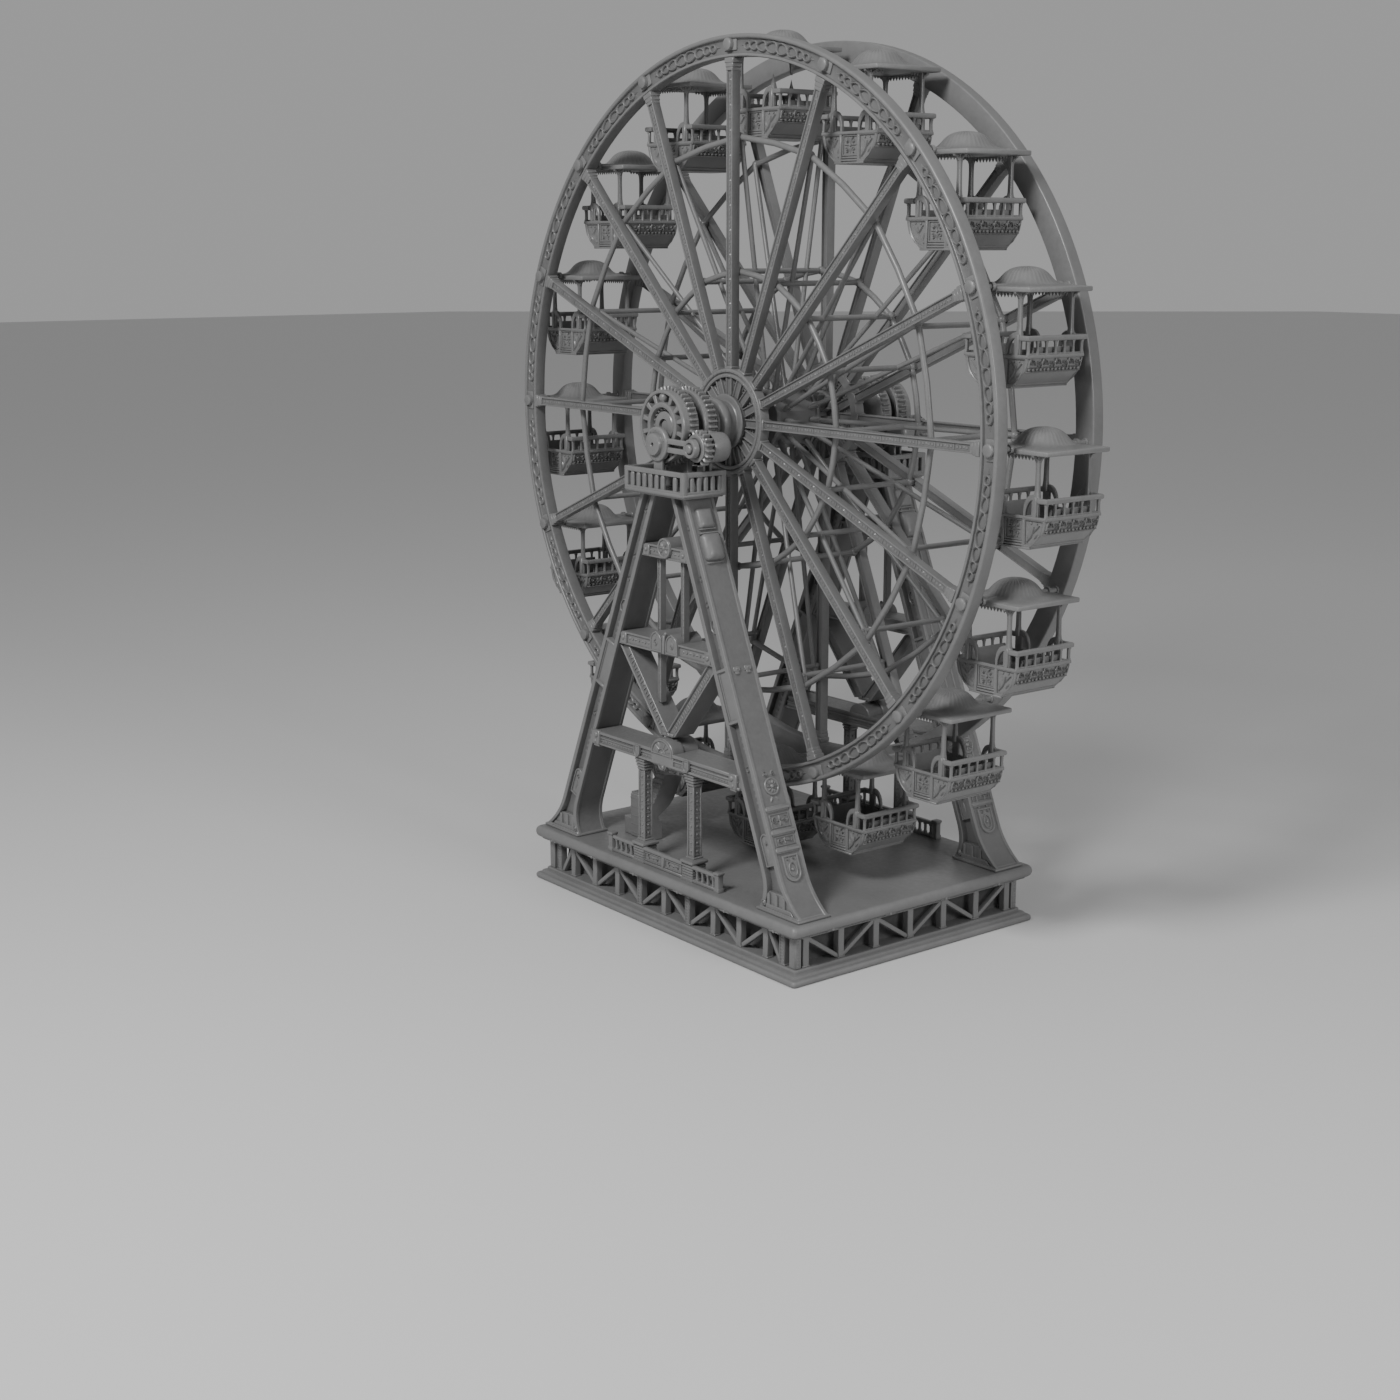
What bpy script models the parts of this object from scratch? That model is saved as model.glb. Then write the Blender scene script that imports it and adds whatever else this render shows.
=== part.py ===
"""Ferris wheel on a masonry plinth: two A-shaped pylons carry a double-rimmed
wheel with sixteen hanging cabins. Units are metres, +Z is up, the axle runs
along Y, the wheel turns in the XZ plane and the origin is the centre of the
underside of the plinth."""
import bpy
import bmesh
from math import sin, cos, pi, radians, atan2, hypot
from mathutils import Matrix, Vector

# ---------------------------------------------------------------- dimensions
GAP = 0.0008            # clearance left between neighbouring solids

HUB_Z = 12.80           # height of the axle
PIVOT_R = 9.00          # radius on which the cabins hang
N = 16                  # spokes on each side, and cabins
RIM_OUT = 9.23          # outer radius of a rim
RIM_IN = 8.70           # inner radius of a rim
RIM_Y0 = 1.36           # inner face of a rim
RIM_Y1 = 1.72           # outer face of a rim
RIM_SEG = 64

DECK_X, DECK_Y = 5.50, 4.07          # half sizes of the deck slab
DECK_Z0, DECK_Z1 = 1.14, 1.50
PLINTH_Z = 0.33
CORE_INSET = 0.62
TRUSS_INSET = 0.30                   # slab edge to outer face of the truss
TRUSS_D = 0.20

LEG_Y0, LEG_Y1 = 2.86, 3.74          # depth of the legs, measured from the middle
LEG_OUT0, LEG_OUT_S = 5.61, 0.423    # outer edge: x = OUT0 - OUT_S * z
LEG_IN0, LEG_IN_S = 4.88, 0.410      # inner edge: x = IN0 - IN_S * z
LEG_TOP = 11.10
FOOT_X0, FOOT_X1 = 3.78, 5.36
FOOT_Y0, FOOT_Y1 = 2.80, 3.82
FOOT_H = 0.07

PLAT_X = 1.20                        # bearing platform
PLAT_Y0, PLAT_Y1 = 2.70, 4.02
PLAT_Z0, PLAT_Z1 = 11.12, 11.78

GEAR_N, PIN_N = 42, 18
MODULE = 0.0443                      # pitch diameter over tooth count
GEAR_R = GEAR_N * MODULE / 2
PIN_R = PIN_N * MODULE / 2
GEAR_Y0, GEAR_Y1 = 3.40, 3.66        # toothed part of the outer gear
PIN_Y0, PIN_Y1 = 3.44, 3.62
PIN_DIST = GEAR_R + PIN_R + 0.004
PIN_ANGLE = radians(-19.5)           # pinion seen from the axle, below +X
PIN_X = PIN_DIST * cos(PIN_ANGLE)
PIN_Z = HUB_Z + PIN_DIST * sin(PIN_ANGLE)

BRACE_R = (6.87, 3.67)               # radii of the two tube rings
RUNG_R = (6.60, 3.67)                # radii of the cross bars between front and rear
BRACE_Y = 1.34
TUBE = 0.075

COL_X, COL_Y = 1.03, 3.55            # columns under the lower beam
COL_W = 0.27
RAIL_Y = 3.74

# ------------------------------------------------------------------ clearing
for ob in list(bpy.data.objects):
    bpy.data.objects.remove(ob, do_unlink=True)

part = bpy.data.collections.new("ferris_wheel")
bpy.context.scene.collection.children.link(part)
work = bpy.data.collections.new("construction")
bpy.context.scene.collection.children.link(work)


def material(name, colour, rough, metal):
    m = bpy.data.materials.new(name)
    m.use_nodes = True
    b = m.node_tree.nodes["Principled BSDF"]
    b.inputs["Base Color"].default_value = (*colour, 1)
    b.inputs["Roughness"].default_value = rough
    b.inputs["Metallic"].default_value = metal
    m.diffuse_color = (*colour, 1)
    return m


# -------------------------------------------------------------- basic shapes
def holder(bm, name="piece"):
    me = bpy.data.meshes.new(name)
    bm.normal_update()
    bm.to_mesh(me)
    bm.free()
    ob = bpy.data.objects.new(name, me)
    work.objects.link(ob)
    return ob


def box(x0, x1, y0, y1, z0, z1, turn=None):
    bm = bmesh.new()
    bmesh.ops.create_cube(bm, size=1)
    m = Matrix.Translation(((x0 + x1) / 2, (y0 + y1) / 2, (z0 + z1) / 2)) @ \
        Matrix.Diagonal((x1 - x0, y1 - y0, z1 - z0, 1))
    bm.transform(turn @ m if turn else m)
    return holder(bm, "box")


def cone(r0, r1, h, at, axis="Z", seg=16, spin=0.0, turn=None):
    """Cylinder or frustum whose lower end r0 sits at `at` and whose upper end
    r1 is h further along the axis."""
    bm = bmesh.new()
    bmesh.ops.create_cone(bm, cap_ends=True, segments=seg, radius1=r0, radius2=r1, depth=h)
    m = Matrix.Translation((0, 0, h / 2))
    m = Matrix.Rotation(spin, 4, "Z") @ m
    if axis == "Y":
        m = Matrix.Rotation(radians(-90), 4, "X") @ m
    elif axis == "X":
        m = Matrix.Rotation(radians(90), 4, "Y") @ m
    m = Matrix.Translation(at) @ m
    bm.transform(turn @ m if turn else m)
    return holder(bm, "cone")


def bar(p, q, w, d, out=(0, 1, 0)):
    """Straight bar of section w by d from p to q; d is measured along `out`."""
    p, q, out = Vector(p), Vector(q), Vector(out)
    z = (q - p).normalized()
    y = (out - out.dot(z) * z).normalized()
    x = y.cross(z)
    m = Matrix((x, y, z)).transposed().to_4x4()
    m = Matrix.Translation((p + q) / 2) @ m @ Matrix.Diagonal((w, d, (q - p).length, 1))
    bm = bmesh.new()
    bmesh.ops.create_cube(bm, size=1)
    bm.transform(m)
    return holder(bm, "bar")


def outline(points, y0, y1):
    """Prism of an outline drawn in XZ, between two Y planes."""
    cu = bpy.data.curves.new("outline", "CURVE")
    cu.dimensions = "2D"
    cu.fill_mode = "BOTH"
    cu.extrude = (y1 - y0) / 2
    sp = cu.splines.new("POLY")
    sp.points.add(len(points) - 1)
    for i, (a, b) in enumerate(points):
        sp.points[i].co = (a, b, 0, 1)
    sp.use_cyclic_u = True
    ob = bpy.data.objects.new("outline", cu)
    work.objects.link(ob)
    bpy.context.view_layer.update()
    ev = ob.evaluated_get(bpy.context.evaluated_depsgraph_get())
    me = bpy.data.meshes.new_from_object(ev)
    bpy.data.objects.remove(ob, do_unlink=True)
    bpy.data.curves.remove(cu)
    bm = bmesh.new()
    bm.from_mesh(me)
    bpy.data.meshes.remove(me)
    bmesh.ops.remove_doubles(bm, verts=bm.verts, dist=1e-5)
    bmesh.ops.dissolve_limit(bm, angle_limit=1e-4, verts=bm.verts, edges=bm.edges)
    bm.transform(Matrix.Translation((0, (y0 + y1) / 2, 0)) @ Matrix.Rotation(radians(90), 4, "X"))
    bmesh.ops.recalc_face_normals(bm, faces=bm.faces)
    return holder(bm, "outline")


def outline_x(points, x0, x1):
    """Prism of an outline drawn in YZ, between two X planes."""
    ob = outline([(-y, z) for y, z in points], -x1, -x0)
    ob.data.transform(Matrix.Rotation(radians(-90), 4, "Z"))
    return ob


def turned(profile, seg, centre=(0, 0, 0)):
    """Ring turned about Y: profile of (radius, y), closed."""
    bm = bmesh.new()
    vs = [bm.verts.new((r, y, 0)) for r, y in profile]
    for a, b in zip(vs, vs[1:] + vs[:1]):
        bm.edges.new((a, b))
    ob = holder(bm, "turned")
    sc = ob.modifiers.new("turn", "SCREW")
    sc.axis = "Y"
    sc.angle = 2 * pi
    sc.steps = sc.render_steps = seg
    sc.use_merge_vertices = True
    sc.merge_threshold = 1e-5
    apply(ob)
    bm = bmesh.new()
    bm.from_mesh(ob.data)
    bmesh.ops.recalc_face_normals(bm, faces=bm.faces)
    bm.transform(Matrix.Translation(centre))
    bm.to_mesh(ob.data)
    bm.free()
    return ob


def gear_outline(n, module, phase=0.0):
    r = n * module / 2
    tip, root = r + 0.88 * module, r - 1.12 * module
    pts = []
    for i in range(n):
        a = 2 * pi * i / n + phase
        s = 2 * pi / n
        for da, rr in ((-0.34 * s, root), (-0.125 * s, tip), (0.125 * s, tip), (0.34 * s, root)):
            pts.append((rr * sin(a + da), rr * cos(a + da)))
    return pts


# ----------------------------------------------------------------- combining
def apply(ob):
    bpy.context.view_layer.update()
    ev = ob.evaluated_get(bpy.context.evaluated_depsgraph_get())
    me = bpy.data.meshes.new_from_object(ev)
    ob.modifiers.clear()
    old = ob.data
    ob.data = me
    if old.users == 0:
        bpy.data.meshes.remove(old)


def boolean(ob, others, kind):
    group = bpy.data.collections.new("operands")
    work.children.link(group)
    for o in others:
        work.objects.unlink(o)
        group.objects.link(o)
    md = ob.modifiers.new(kind.lower(), "BOOLEAN")
    md.operation = kind
    md.operand_type = "COLLECTION"
    md.collection = group
    md.solver = "EXACT"
    apply(ob)
    for o in others:
        me = o.data
        bpy.data.objects.remove(o, do_unlink=True)
        bpy.data.meshes.remove(me)
    bpy.data.collections.remove(group)
    return ob


def fuse(*pieces):
    pieces = list(pieces)
    return boolean(pieces[0], pieces[1:], "UNION") if len(pieces) > 1 else pieces[0]


def cut(ob, *cutters):
    return boolean(ob, list(cutters), "DIFFERENCE")


def tidy(ob):
    bm = bmesh.new()
    bm.from_mesh(ob.data)
    bmesh.ops.remove_doubles(bm, verts=bm.verts, dist=2e-5)
    bmesh.ops.dissolve_limit(bm, angle_limit=radians(0.05), verts=bm.verts, edges=bm.edges)
    bm.to_mesh(ob.data)
    bm.free()


def place(ob, name, mat, origin=(0, 0, 0), shared=False):
    """Name a finished piece, put its origin on `origin` and file it."""
    tidy(ob)
    o = Vector(origin)
    ob.data.transform(Matrix.Translation(-o))
    ob.location = o
    ob.name = name
    ob.data.name = name
    ob.data.materials.clear()
    ob.data.materials.append(mat)
    work.objects.unlink(ob)
    part.objects.link(ob)
    return ob


def mirrored(ob, name, axis="Y"):
    """Second piece, the mirror image of a placed one across the middle."""
    me = ob.data.copy()
    s = Matrix.Diagonal((-1, 1, 1, 1) if axis == "X" else (1, -1, 1, 1))
    me.transform(s)
    me.flip_normals()
    new = bpy.data.objects.new(name, me)
    new.location = s @ ob.location
    me.name = name
    part.objects.link(new)
    return new


def polar(r, a):
    return r * sin(a), HUB_Z + r * cos(a)


STEEL = material("painted_structure", (0.20, 0.20, 0.20), 0.42, 0.0)
STONE = material("masonry", (0.15, 0.15, 0.15), 0.85, 0.0)
DECK = material("deck", (0.20, 0.20, 0.20), 0.5, 0.0)
WHEEL = material("wheel_structure", (0.20, 0.20, 0.20), 0.40, 0.0)
GEAR = material("gearing", (0.21, 0.21, 0.21), 0.35, 0.2)
CABIN = material("cabin", (0.20, 0.20, 0.20), 0.42, 0.0)

# ---------------------------------------------------------------------- base
deck = outline([(-DECK_X, DECK_Z0 + 0.10), (-DECK_X + 0.10, DECK_Z0), (DECK_X - 0.10, DECK_Z0), (DECK_X, DECK_Z0 + 0.10),
                (DECK_X, DECK_Z1 - 0.10), (DECK_X - 0.10, DECK_Z1), (-DECK_X + 0.10, DECK_Z1), (-DECK_X, DECK_Z1 - 0.10)],
               -DECK_Y, DECK_Y)
place(deck, "base_deck", DECK)
place(box(-DECK_X, DECK_X, -DECK_Y, DECK_Y, 0, PLINTH_Z), "base_plinth", DECK)
place(box(-DECK_X + CORE_INSET, DECK_X - CORE_INSET, -DECK_Y + CORE_INSET, DECK_Y - CORE_INSET,
          PLINTH_Z + GAP, DECK_Z0 - GAP), "base_core", STONE)


def truss(half, edge, posts, name):
    """Skirt truss standing on the plinth, along X at y = -edge."""
    y0, y1 = -edge + TRUSS_INSET, -edge + TRUSS_INSET + TRUSS_D
    zb, zt = PLINTH_Z + GAP, DECK_Z0 - GAP
    out = [box(-half, half, y0 - 0.03, y1, zt - 0.06, zt)]
    for x, w in posts:
        out.append(box(x - w / 2, x + w / 2, y0 + 0.001, y1 - 0.001, zb, zt - 0.01))
    xs = sorted(x for x, w in posts)
    up = False
    for a, b in zip(xs, xs[1:]):
        if b - a < 0.7:
            continue
        p, q = ((a, zb + 0.08), (b, zt - 0.08)) if up else ((a, zt - 0.08), (b, zb + 0.08))
        out.append(bar((p[0], (y0 + y1) / 2, p[1]), (q[0], (y0 + y1) / 2, q[1]), 0.12, TRUSS_D - 0.04))
        up = not up
    return place(fuse(*out), name, STEEL)


long_posts = [(s * x, 0.2) for x in (1.02, 2.04, 3.06, 4.08, 4.72) for s in (-1, 1)] + [(0, 0.2)]
t = truss(DECK_X - TRUSS_INSET, DECK_Y, long_posts + [(s * (DECK_X - TRUSS_INSET - 0.12), 0.23) for s in (-1, 1)], "front_base_truss")
mirrored(t, "rear_base_truss")
short_half = DECK_Y - TRUSS_INSET - TRUSS_D - 0.005
t = truss(short_half, DECK_X, [(s * x, 0.2) for x in (1.15, 2.3) for s in (-1, 1)] + [(0, 0.2)] +
          [(s * (short_half - 0.1), 0.2) for s in (-1, 1)], "side_truss")
t.data.transform(Matrix.Rotation(radians(90), 4, "Z"))
t.name = t.data.name = "right_base_truss"
mirrored(t, "left_base_truss", "X")


# -------------------------------------------------------------------- pylons
def xo(z):
    return LEG_OUT0 - LEG_OUT_S * z


def xi(z):
    return LEG_IN0 - LEG_IN_S * z


zf = DECK_Z1 + GAP + FOOT_H
leg = outline([(FOOT_X1 - 0.03, zf - 0.002), (FOOT_X1 - 0.12, zf + 0.06), (xo(2.35), 2.35), (xo(LEG_TOP), LEG_TOP), (xi(LEG_TOP), LEG_TOP),
               (xi(2.35), 2.35), (FOOT_X0 + 0.12, zf + 0.06), (FOOT_X0 + 0.03, zf - 0.002)], -LEG_Y1, -LEG_Y0)
recess = []
for y0, y1 in ((-LEG_Y1 - 0.05, -LEG_Y1 + 0.22), (-LEG_Y0 - 0.22, -LEG_Y0 + 0.05)):
    recess.append(outline([(xo(2.6) - 0.14, 2.6), (xo(10.9) - 0.14, 10.9), (xi(10.9) + 0.14, 10.9), (xi(2.6) + 0.14, 2.6)], y0, y1))
leg = cut(leg, *recess)
leg = fuse(leg, box(FOOT_X0, FOOT_X1, -FOOT_Y1, -FOOT_Y0, DECK_Z1 + GAP, zf))
leg = place(leg, "front_right_leg", STEEL)
for nm, ax, src in (("front_left_leg", "X", leg), ("rear_right_leg", "Y", leg)):
    o = mirrored(src, nm, ax)
mirrored(o, "rear_left_leg", "X")


def between(z, w=0.0, s=0.012):
    """Half width that fits between the legs at height z."""
    return xi(z) - s - w


def beam_outline(z0, z1, arch=()):
    pts = [(-between(z0), z0), (between(z0), z0), (between(z1), z1)]
    for cx, r, h, n in sorted(arch, reverse=True):
        for i in range(n + 1):
            a = pi * i / n
            pts.append((cx + r * cos(a), z1 + h * sin(a)))
    pts.append((-between(z1), z1))
    return pts


BEAM_Y0, BEAM_Y1 = 2.90, 3.70
b = outline(beam_outline(9.52, 9.84, [(0, 0.26, 0.22, 6)]), -BEAM_Y1, -BEAM_Y0)
mirrored(place(b, "front_upper_beam", STEEL), "rear_upper_beam")

b = outline(beam_outline(7.12, 7.46, [(-0.32, 0.24, 0.22, 6), (0.32, 0.24, 0.22, 6)]), -BEAM_Y1, -BEAM_Y0)
hang = [box(x - 0.07, x + 0.07, -BEAM_Y1 + 0.20, -BEAM_Y1 + 0.40, z0, 9.52 - GAP) for x, z0 in ((-0.48, 7.3), (0.48, 7.3))]
mirrored(place(fuse(b, *hang), "front_mid_beam", STEEL), "rear_mid_beam")
# on the front the left hanger runs on below the beam and lands on the V brace
low = cut(box(-0.55, -0.41, -BEAM_Y1 + 0.20, -BEAM_Y1 + 0.40, 5.60, 7.30),
          bar((-0.10, -3.33, 5.02), (-1.78, -3.33, 7.05), 0.32 + 2 * GAP, 1.2))
front = bpy.data.objects["front_mid_beam"]
part.objects.unlink(front)
work.objects.link(front)
place(fuse(front, low), "front_mid_beam", STEEL)

b = outline(beam_outline(4.28, 4.64, [(0, 0.45, 0.36, 8)]), -BEAM_Y1 - 0.10, -BEAM_Y0)
mirrored(place(b, "front_lower_beam", STEEL), "rear_lower_beam")

vb = []
for s in (-1, 1):
    vb.append(bar((s * 0.10, -3.33, 5.02), (s * 1.78, -3.33, 7.05), 0.32, 0.60))
vb = fuse(*vb)
vb = cut(vb, box(-3, 3, -4.5, -2, 7.12 - GAP, 8), box(-3, 3, -4.5, -2, 4, 5.001 + GAP))
mirrored(place(vb, "front_v_brace", STEEL), "rear_v_brace")

# columns, pedestals and railing under the lower beam
ar = []
zt = 4.28 - GAP
zd = DECK_Z1 + GAP
for s in (-1, 1):
    ar += [box(s * COL_X - 0.24, s * COL_X + 0.24, -COL_Y - 0.27, -COL_Y + 0.24, zd, 2.06),
           box(s * COL_X - COL_W / 2, s * COL_X + COL_W / 2, -COL_Y - COL_W / 2, -COL_Y + COL_W / 2, 2.05, 4.0),
           box(s * COL_X - 0.20, s * COL_X + 0.20, -COL_Y - 0.20, -COL_Y + 0.20, 3.99, zt),
           box(s * 2.25 - 0.10, s * 2.25 + 0.10, -RAIL_Y - 0.10, -RAIL_Y + 0.10, zd, 2.02)]
ar += [box(-2.2, 2.2, -RAIL_Y - 0.05, -RAIL_Y + 0.05, zd, zd + 0.09), box(-2.2, 2.2, -RAIL_Y - 0.06, -RAIL_Y + 0.06, 1.84, 1.95),
       box(-COL_X, COL_X, -RAIL_Y - 0.04, -RAIL_Y + 0.04, zd + 0.02, 1.90)]
for s in (-1, 1):
    for i in range(4):
        x = s * (1.38 + 0.21 * i)
        ar.append(box(x - 0.035, x + 0.035, -RAIL_Y - 0.035, -RAIL_Y + 0.035, zd + 0.02, 1.90))
mirrored(place(fuse(*ar), "front_portico", STEEL), "rear_portico")

# stair of one flight rising inward beside the front railing, with its side boxes
st = cut(box(-2.70, -2.25, -2.56, -1.41, zd, 3.30),
         box(-3, -2, -2.07, -1.0, 1.0, 2.0),
         outline_x([(-1.00, 1.90), (-2.20, 2.00), (-2.21, 2.15), (-1.85, 2.36), (-1.70, 2.53), (-1.41, 3.10), (-1.00, 3.20)], -3, -2),
         outline_x([(-3.00, 2.20), (-2.56, 2.20), (-2.34, 2.85), (-1.98, 3.27), (-1.60, 3.20), (-1.41, 3.14), (-1.00, 3.10), (-1.00, 4.00), (-3.00, 4.00)], -3, -2))
st = fuse(st, box(-3.08, -2.69, -2.56, -2.20, zd, 2.75), box(-3.42, -3.07, -2.52, -2.24, zd, 2.00))
place(st, "boarding_stair", STEEL)

# bearing platforms, each a floor with a balustrade
pf = [box(-PLAT_X, PLAT_X, -PLAT_Y1, -PLAT_Y0, PLAT_Z0, PLAT_Z0 + 0.14)]
tr = [box(-PLAT_X, PLAT_X, -PLAT_Y1, -PLAT_Y1 + 0.10, PLAT_Z1 - 0.12, PLAT_Z1), box(-PLAT_X, PLAT_X, -PLAT_Y0 - 0.10, -PLAT_Y0, PLAT_Z1 - 0.12, PLAT_Z1),
      box(-PLAT_X, -PLAT_X + 0.10, -PLAT_Y1, -PLAT_Y0, PLAT_Z1 - 0.12, PLAT_Z1), box(PLAT_X - 0.10, PLAT_X, -PLAT_Y1, -PLAT_Y0, PLAT_Z1 - 0.12, PLAT_Z1)]
for i in range(7):
    x = -PLAT_X + 0.05 + (2 * PLAT_X - 0.10) * i / 6
    for y in (-PLAT_Y1 + 0.055, -PLAT_Y0 - 0.055):
        tr.append(box(x - 0.045, x + 0.045, y - 0.045, y + 0.045, PLAT_Z0 + 0.1, PLAT_Z1 - 0.05))
for i in range(1, 4):
    y = -PLAT_Y1 + 0.055 + (PLAT_Y1 - PLAT_Y0 - 0.11) * i / 4
    for x in (-PLAT_X + 0.055, PLAT_X - 0.055):
        tr.append(box(x - 0.045, x + 0.045, y - 0.045, y + 0.045, PLAT_Z0 + 0.1, PLAT_Z1 - 0.05))
mirrored(place(fuse(*pf, *tr), "front_bearing_platform", STEEL), "rear_bearing_platform")

# pillow block between the two gear rings
zp = PLAT_Z0 + 0.14 + GAP
pts = [(-0.55, zp), (0.55, zp), (0.34, HUB_Z)]
pts += [(0.34 * cos(pi * i / 8), HUB_Z + 0.34 * sin(pi * i / 8)) for i in range(1, 8)] + [(-0.34, HUB_Z)]
pb = cut(outline(pts, -3.26, -3.10), cone(0.18, 0.18, 0.6, (0, -3.5, HUB_Z), "Y", 16))
mirrored(place(pb, "front_axle_bearing", GEAR), "rear_axle_bearing")

# bracket outside the gear: a plate from the floor to a stepped boss, and an arm whose eye holds the pinion's shaft
BOSS_Z = 12.38
br = [outline([(-0.42, zp), (0.42, zp), (0.36, zp + 0.25), (0.40, BOSS_Z), (-0.40, BOSS_Z), (-0.36, zp + 0.25)], -3.90, -3.80),
      cone(0.42, 0.42, 0.14, (0, -3.94, BOSS_Z), "Y", 24), cone(0.26, 0.26, 0.20, (0, -4.01, BOSS_Z), "Y", 20),
      bar((0, -3.85, BOSS_Z - 0.01), (PIN_X, -3.85, PIN_Z), 0.30, 0.08), cone(0.27, 0.27, 0.12, (PIN_X, -3.91, PIN_Z), "Y", 20)]
br = cut(fuse(*br), cone(0.12, 0.12, 0.6, (PIN_X, -4.1, PIN_Z), "Y", 12))
mirrored(place(br, "front_drive_bracket", GEAR), "rear_drive_bracket")

# motor beside each gear, on a foot, with its shaft stub inside the pinion
mo = [cone(0.36, 0.36, 0.54, (PIN_X, -3.36, PIN_Z), "Y", 20), cone(0.12, 0.12, 0.1, (PIN_X, -PIN_Y0 + 0.002, PIN_Z), "Y", 12),
      box(0.76, 1.07, -3.30, -3.02, zp, PIN_Z - 0.2)]
mo = place(fuse(*mo), "front_drive_motor", GEAR)
mirrored(mo, "rear_drive_motor")

# --------------------------------------------------------------------- wheel
hub = (0, 0, HUB_Z)
rim = turned([(RIM_OUT, -RIM_Y1), (RIM_OUT, -RIM_Y0), (RIM_IN, -RIM_Y0), (RIM_IN, -RIM_Y1)], RIM_SEG, hub)
holes = [cone(0.085, 0.085, 0.4, (polar(PIVOT_R, 2 * pi * k / N)[0], -RIM_Y0 - 0.18, polar(PIVOT_R, 2 * pi * k / N)[1]), "Y", 6) for k in range(N)]
rim = cut(rim, *holes)
rim = place(rim, "front_rim", WHEEL, hub)
mirrored(rim, "rear_rim")

SP_Y0, SP_Y1 = 1.42, 1.68
sp = [turned([(1.31, -1.72), (1.31, -1.42), (1.10, -1.42), (1.10, -1.72)], 32, hub)]
for k in range(N):
    a = 2 * pi * k / N
    p, q = polar(0.68, a), polar(RIM_IN - 0.012, a)
    sp.append(bar((p[0], -(SP_Y0 + SP_Y1) / 2, p[1]), (q[0], -(SP_Y0 + SP_Y1) / 2, q[1]), 0.22, SP_Y1 - SP_Y0 - 0.02))
sp = place(fuse(*sp), "front_spokes", WHEEL, hub)
mirrored(sp, "rear_spokes")

ax = turned([(0.0, -3.66), (0.16, -3.66), (0.16, -2.40), (0.65, -2.40), (0.65, -1.30), (0.34, -1.30), (0.34, -0.75), (0.80, -0.75),
             (0.80, 0.75), (0.34, 0.75), (0.34, 1.30), (0.65, 1.30), (0.65, 2.40), (0.16, 2.40), (0.16, 3.66), (0.0, 3.66)], 16, hub)
place(ax, "axle_and_drum", WHEEL, hub)

for nm, br, rung in zip(("outer_bracing", "inner_bracing"), BRACE_R, RUNG_R):
    bs = []
    for sg in (-1, 1):
        y0, y1 = sg * BRACE_Y - TUBE * 0.9, sg * BRACE_Y + TUBE * 0.9
        bs.append(turned([(br + TUBE, y0), (br + TUBE, y1), (br - TUBE, y1), (br - TUBE, y0)], N, hub))
    for k in range(N):
        a = 2 * pi * k / N
        if rung < br and k in (0, 1, 2, N - 2, N - 1):
            continue                             # these joints have no cross bar
        p = polar(rung, a)
        bs.append(bar((p[0], -BRACE_Y, p[1]), (p[0], BRACE_Y, p[1]), 1.6 * TUBE, 1.6 * TUBE, (sin(a), 0, cos(a))))
        if rung < br:                            # crank that drops the cross bar clear of the cabins
            p, q = polar(rung - 0.6 * TUBE, a), polar(br, a)
            bs += [bar((p[0], sg * BRACE_Y, p[1]), (q[0], sg * BRACE_Y, q[1]), 1.6 * TUBE, 1.6 * TUBE) for sg in (-1, 1)]
    place(fuse(*bs), nm, WHEEL, hub)

gear = outline([(x, z + HUB_Z) for x, z in gear_outline(GEAR_N, MODULE)], -GEAR_Y1, -GEAR_Y0)
gear = fuse(gear, turned([(0.86, -GEAR_Y1 - 0.11), (0.86, -GEAR_Y1 + 0.01), (0.55, -GEAR_Y1 + 0.01), (0.55, -GEAR_Y1 - 0.11)], 24, hub))
gear = cut(gear, cone(0.17, 0.17, 1.2, (0, -4.2, HUB_Z), "Y", 16))
gear = place(gear, "front_ring_gear", GEAR, hub)
mirrored(gear, "rear_ring_gear")
inner = turned([(0.95, -3.00), (0.95, -2.62), (0.17, -2.62), (0.17, -3.00)], 24, hub)
inner = place(inner, "front_inner_gear", GEAR, hub)
mirrored(inner, "rear_inner_gear")

# pinion, its tooth facing a gap of the gear
seat = pi / 2 - PIN_ANGLE                     # direction axle to pinion, clockwise from up
half = pi / GEAR_N
gap_off = (seat - half) % (2 * half)          # gear phase seen at the mesh point
pin_phase = seat + pi + gap_off * GEAR_N / PIN_N
pin = outline([(x + PIN_X, z + PIN_Z) for x, z in gear_outline(PIN_N, MODULE, pin_phase)], -PIN_Y1, -PIN_Y0)
pin = fuse(pin, cone(0.10, 0.10, 0.44, (PIN_X, -3.96, PIN_Z), "Y", 12))
pin = place(pin, "front_pinion", GEAR, (PIN_X, 0, PIN_Z))
mirrored(pin, "rear_pinion")

# -------------------------------------------------------------------- cabins
EAVE_X, EAVE_Y = 1.04, 1.02
RAIL_X, RAIL_HY = 0.96, 0.86
hull = [(-0.48, -2.17), (0.48, -2.17), (0.86, -1.80), (0.94, -1.50), (RAIL_X, -1.12), (-RAIL_X, -1.12), (-0.94, -1.50), (-0.86, -1.80)]
body = outline(hull, -RAIL_HY, RAIL_HY)
room = [(-0.42, -2.09), (0.42, -2.09), (0.78, -1.76), (0.87, -1.05), (-0.87, -1.05), (-0.78, -1.76)]
body = cut(body, outline(room, -RAIL_HY + 0.08, RAIL_HY - 0.08), box(-0.28, 0.28, -1.2, 1.2, -1.52, -1.0))
pc = [box(-EAVE_X, EAVE_X, -EAVE_Y, EAVE_Y, -0.08, 0.0), cone(1.05, 0.40, 0.44, (0, 0, -0.01), "Z", 4, pi / 4)]
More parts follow.
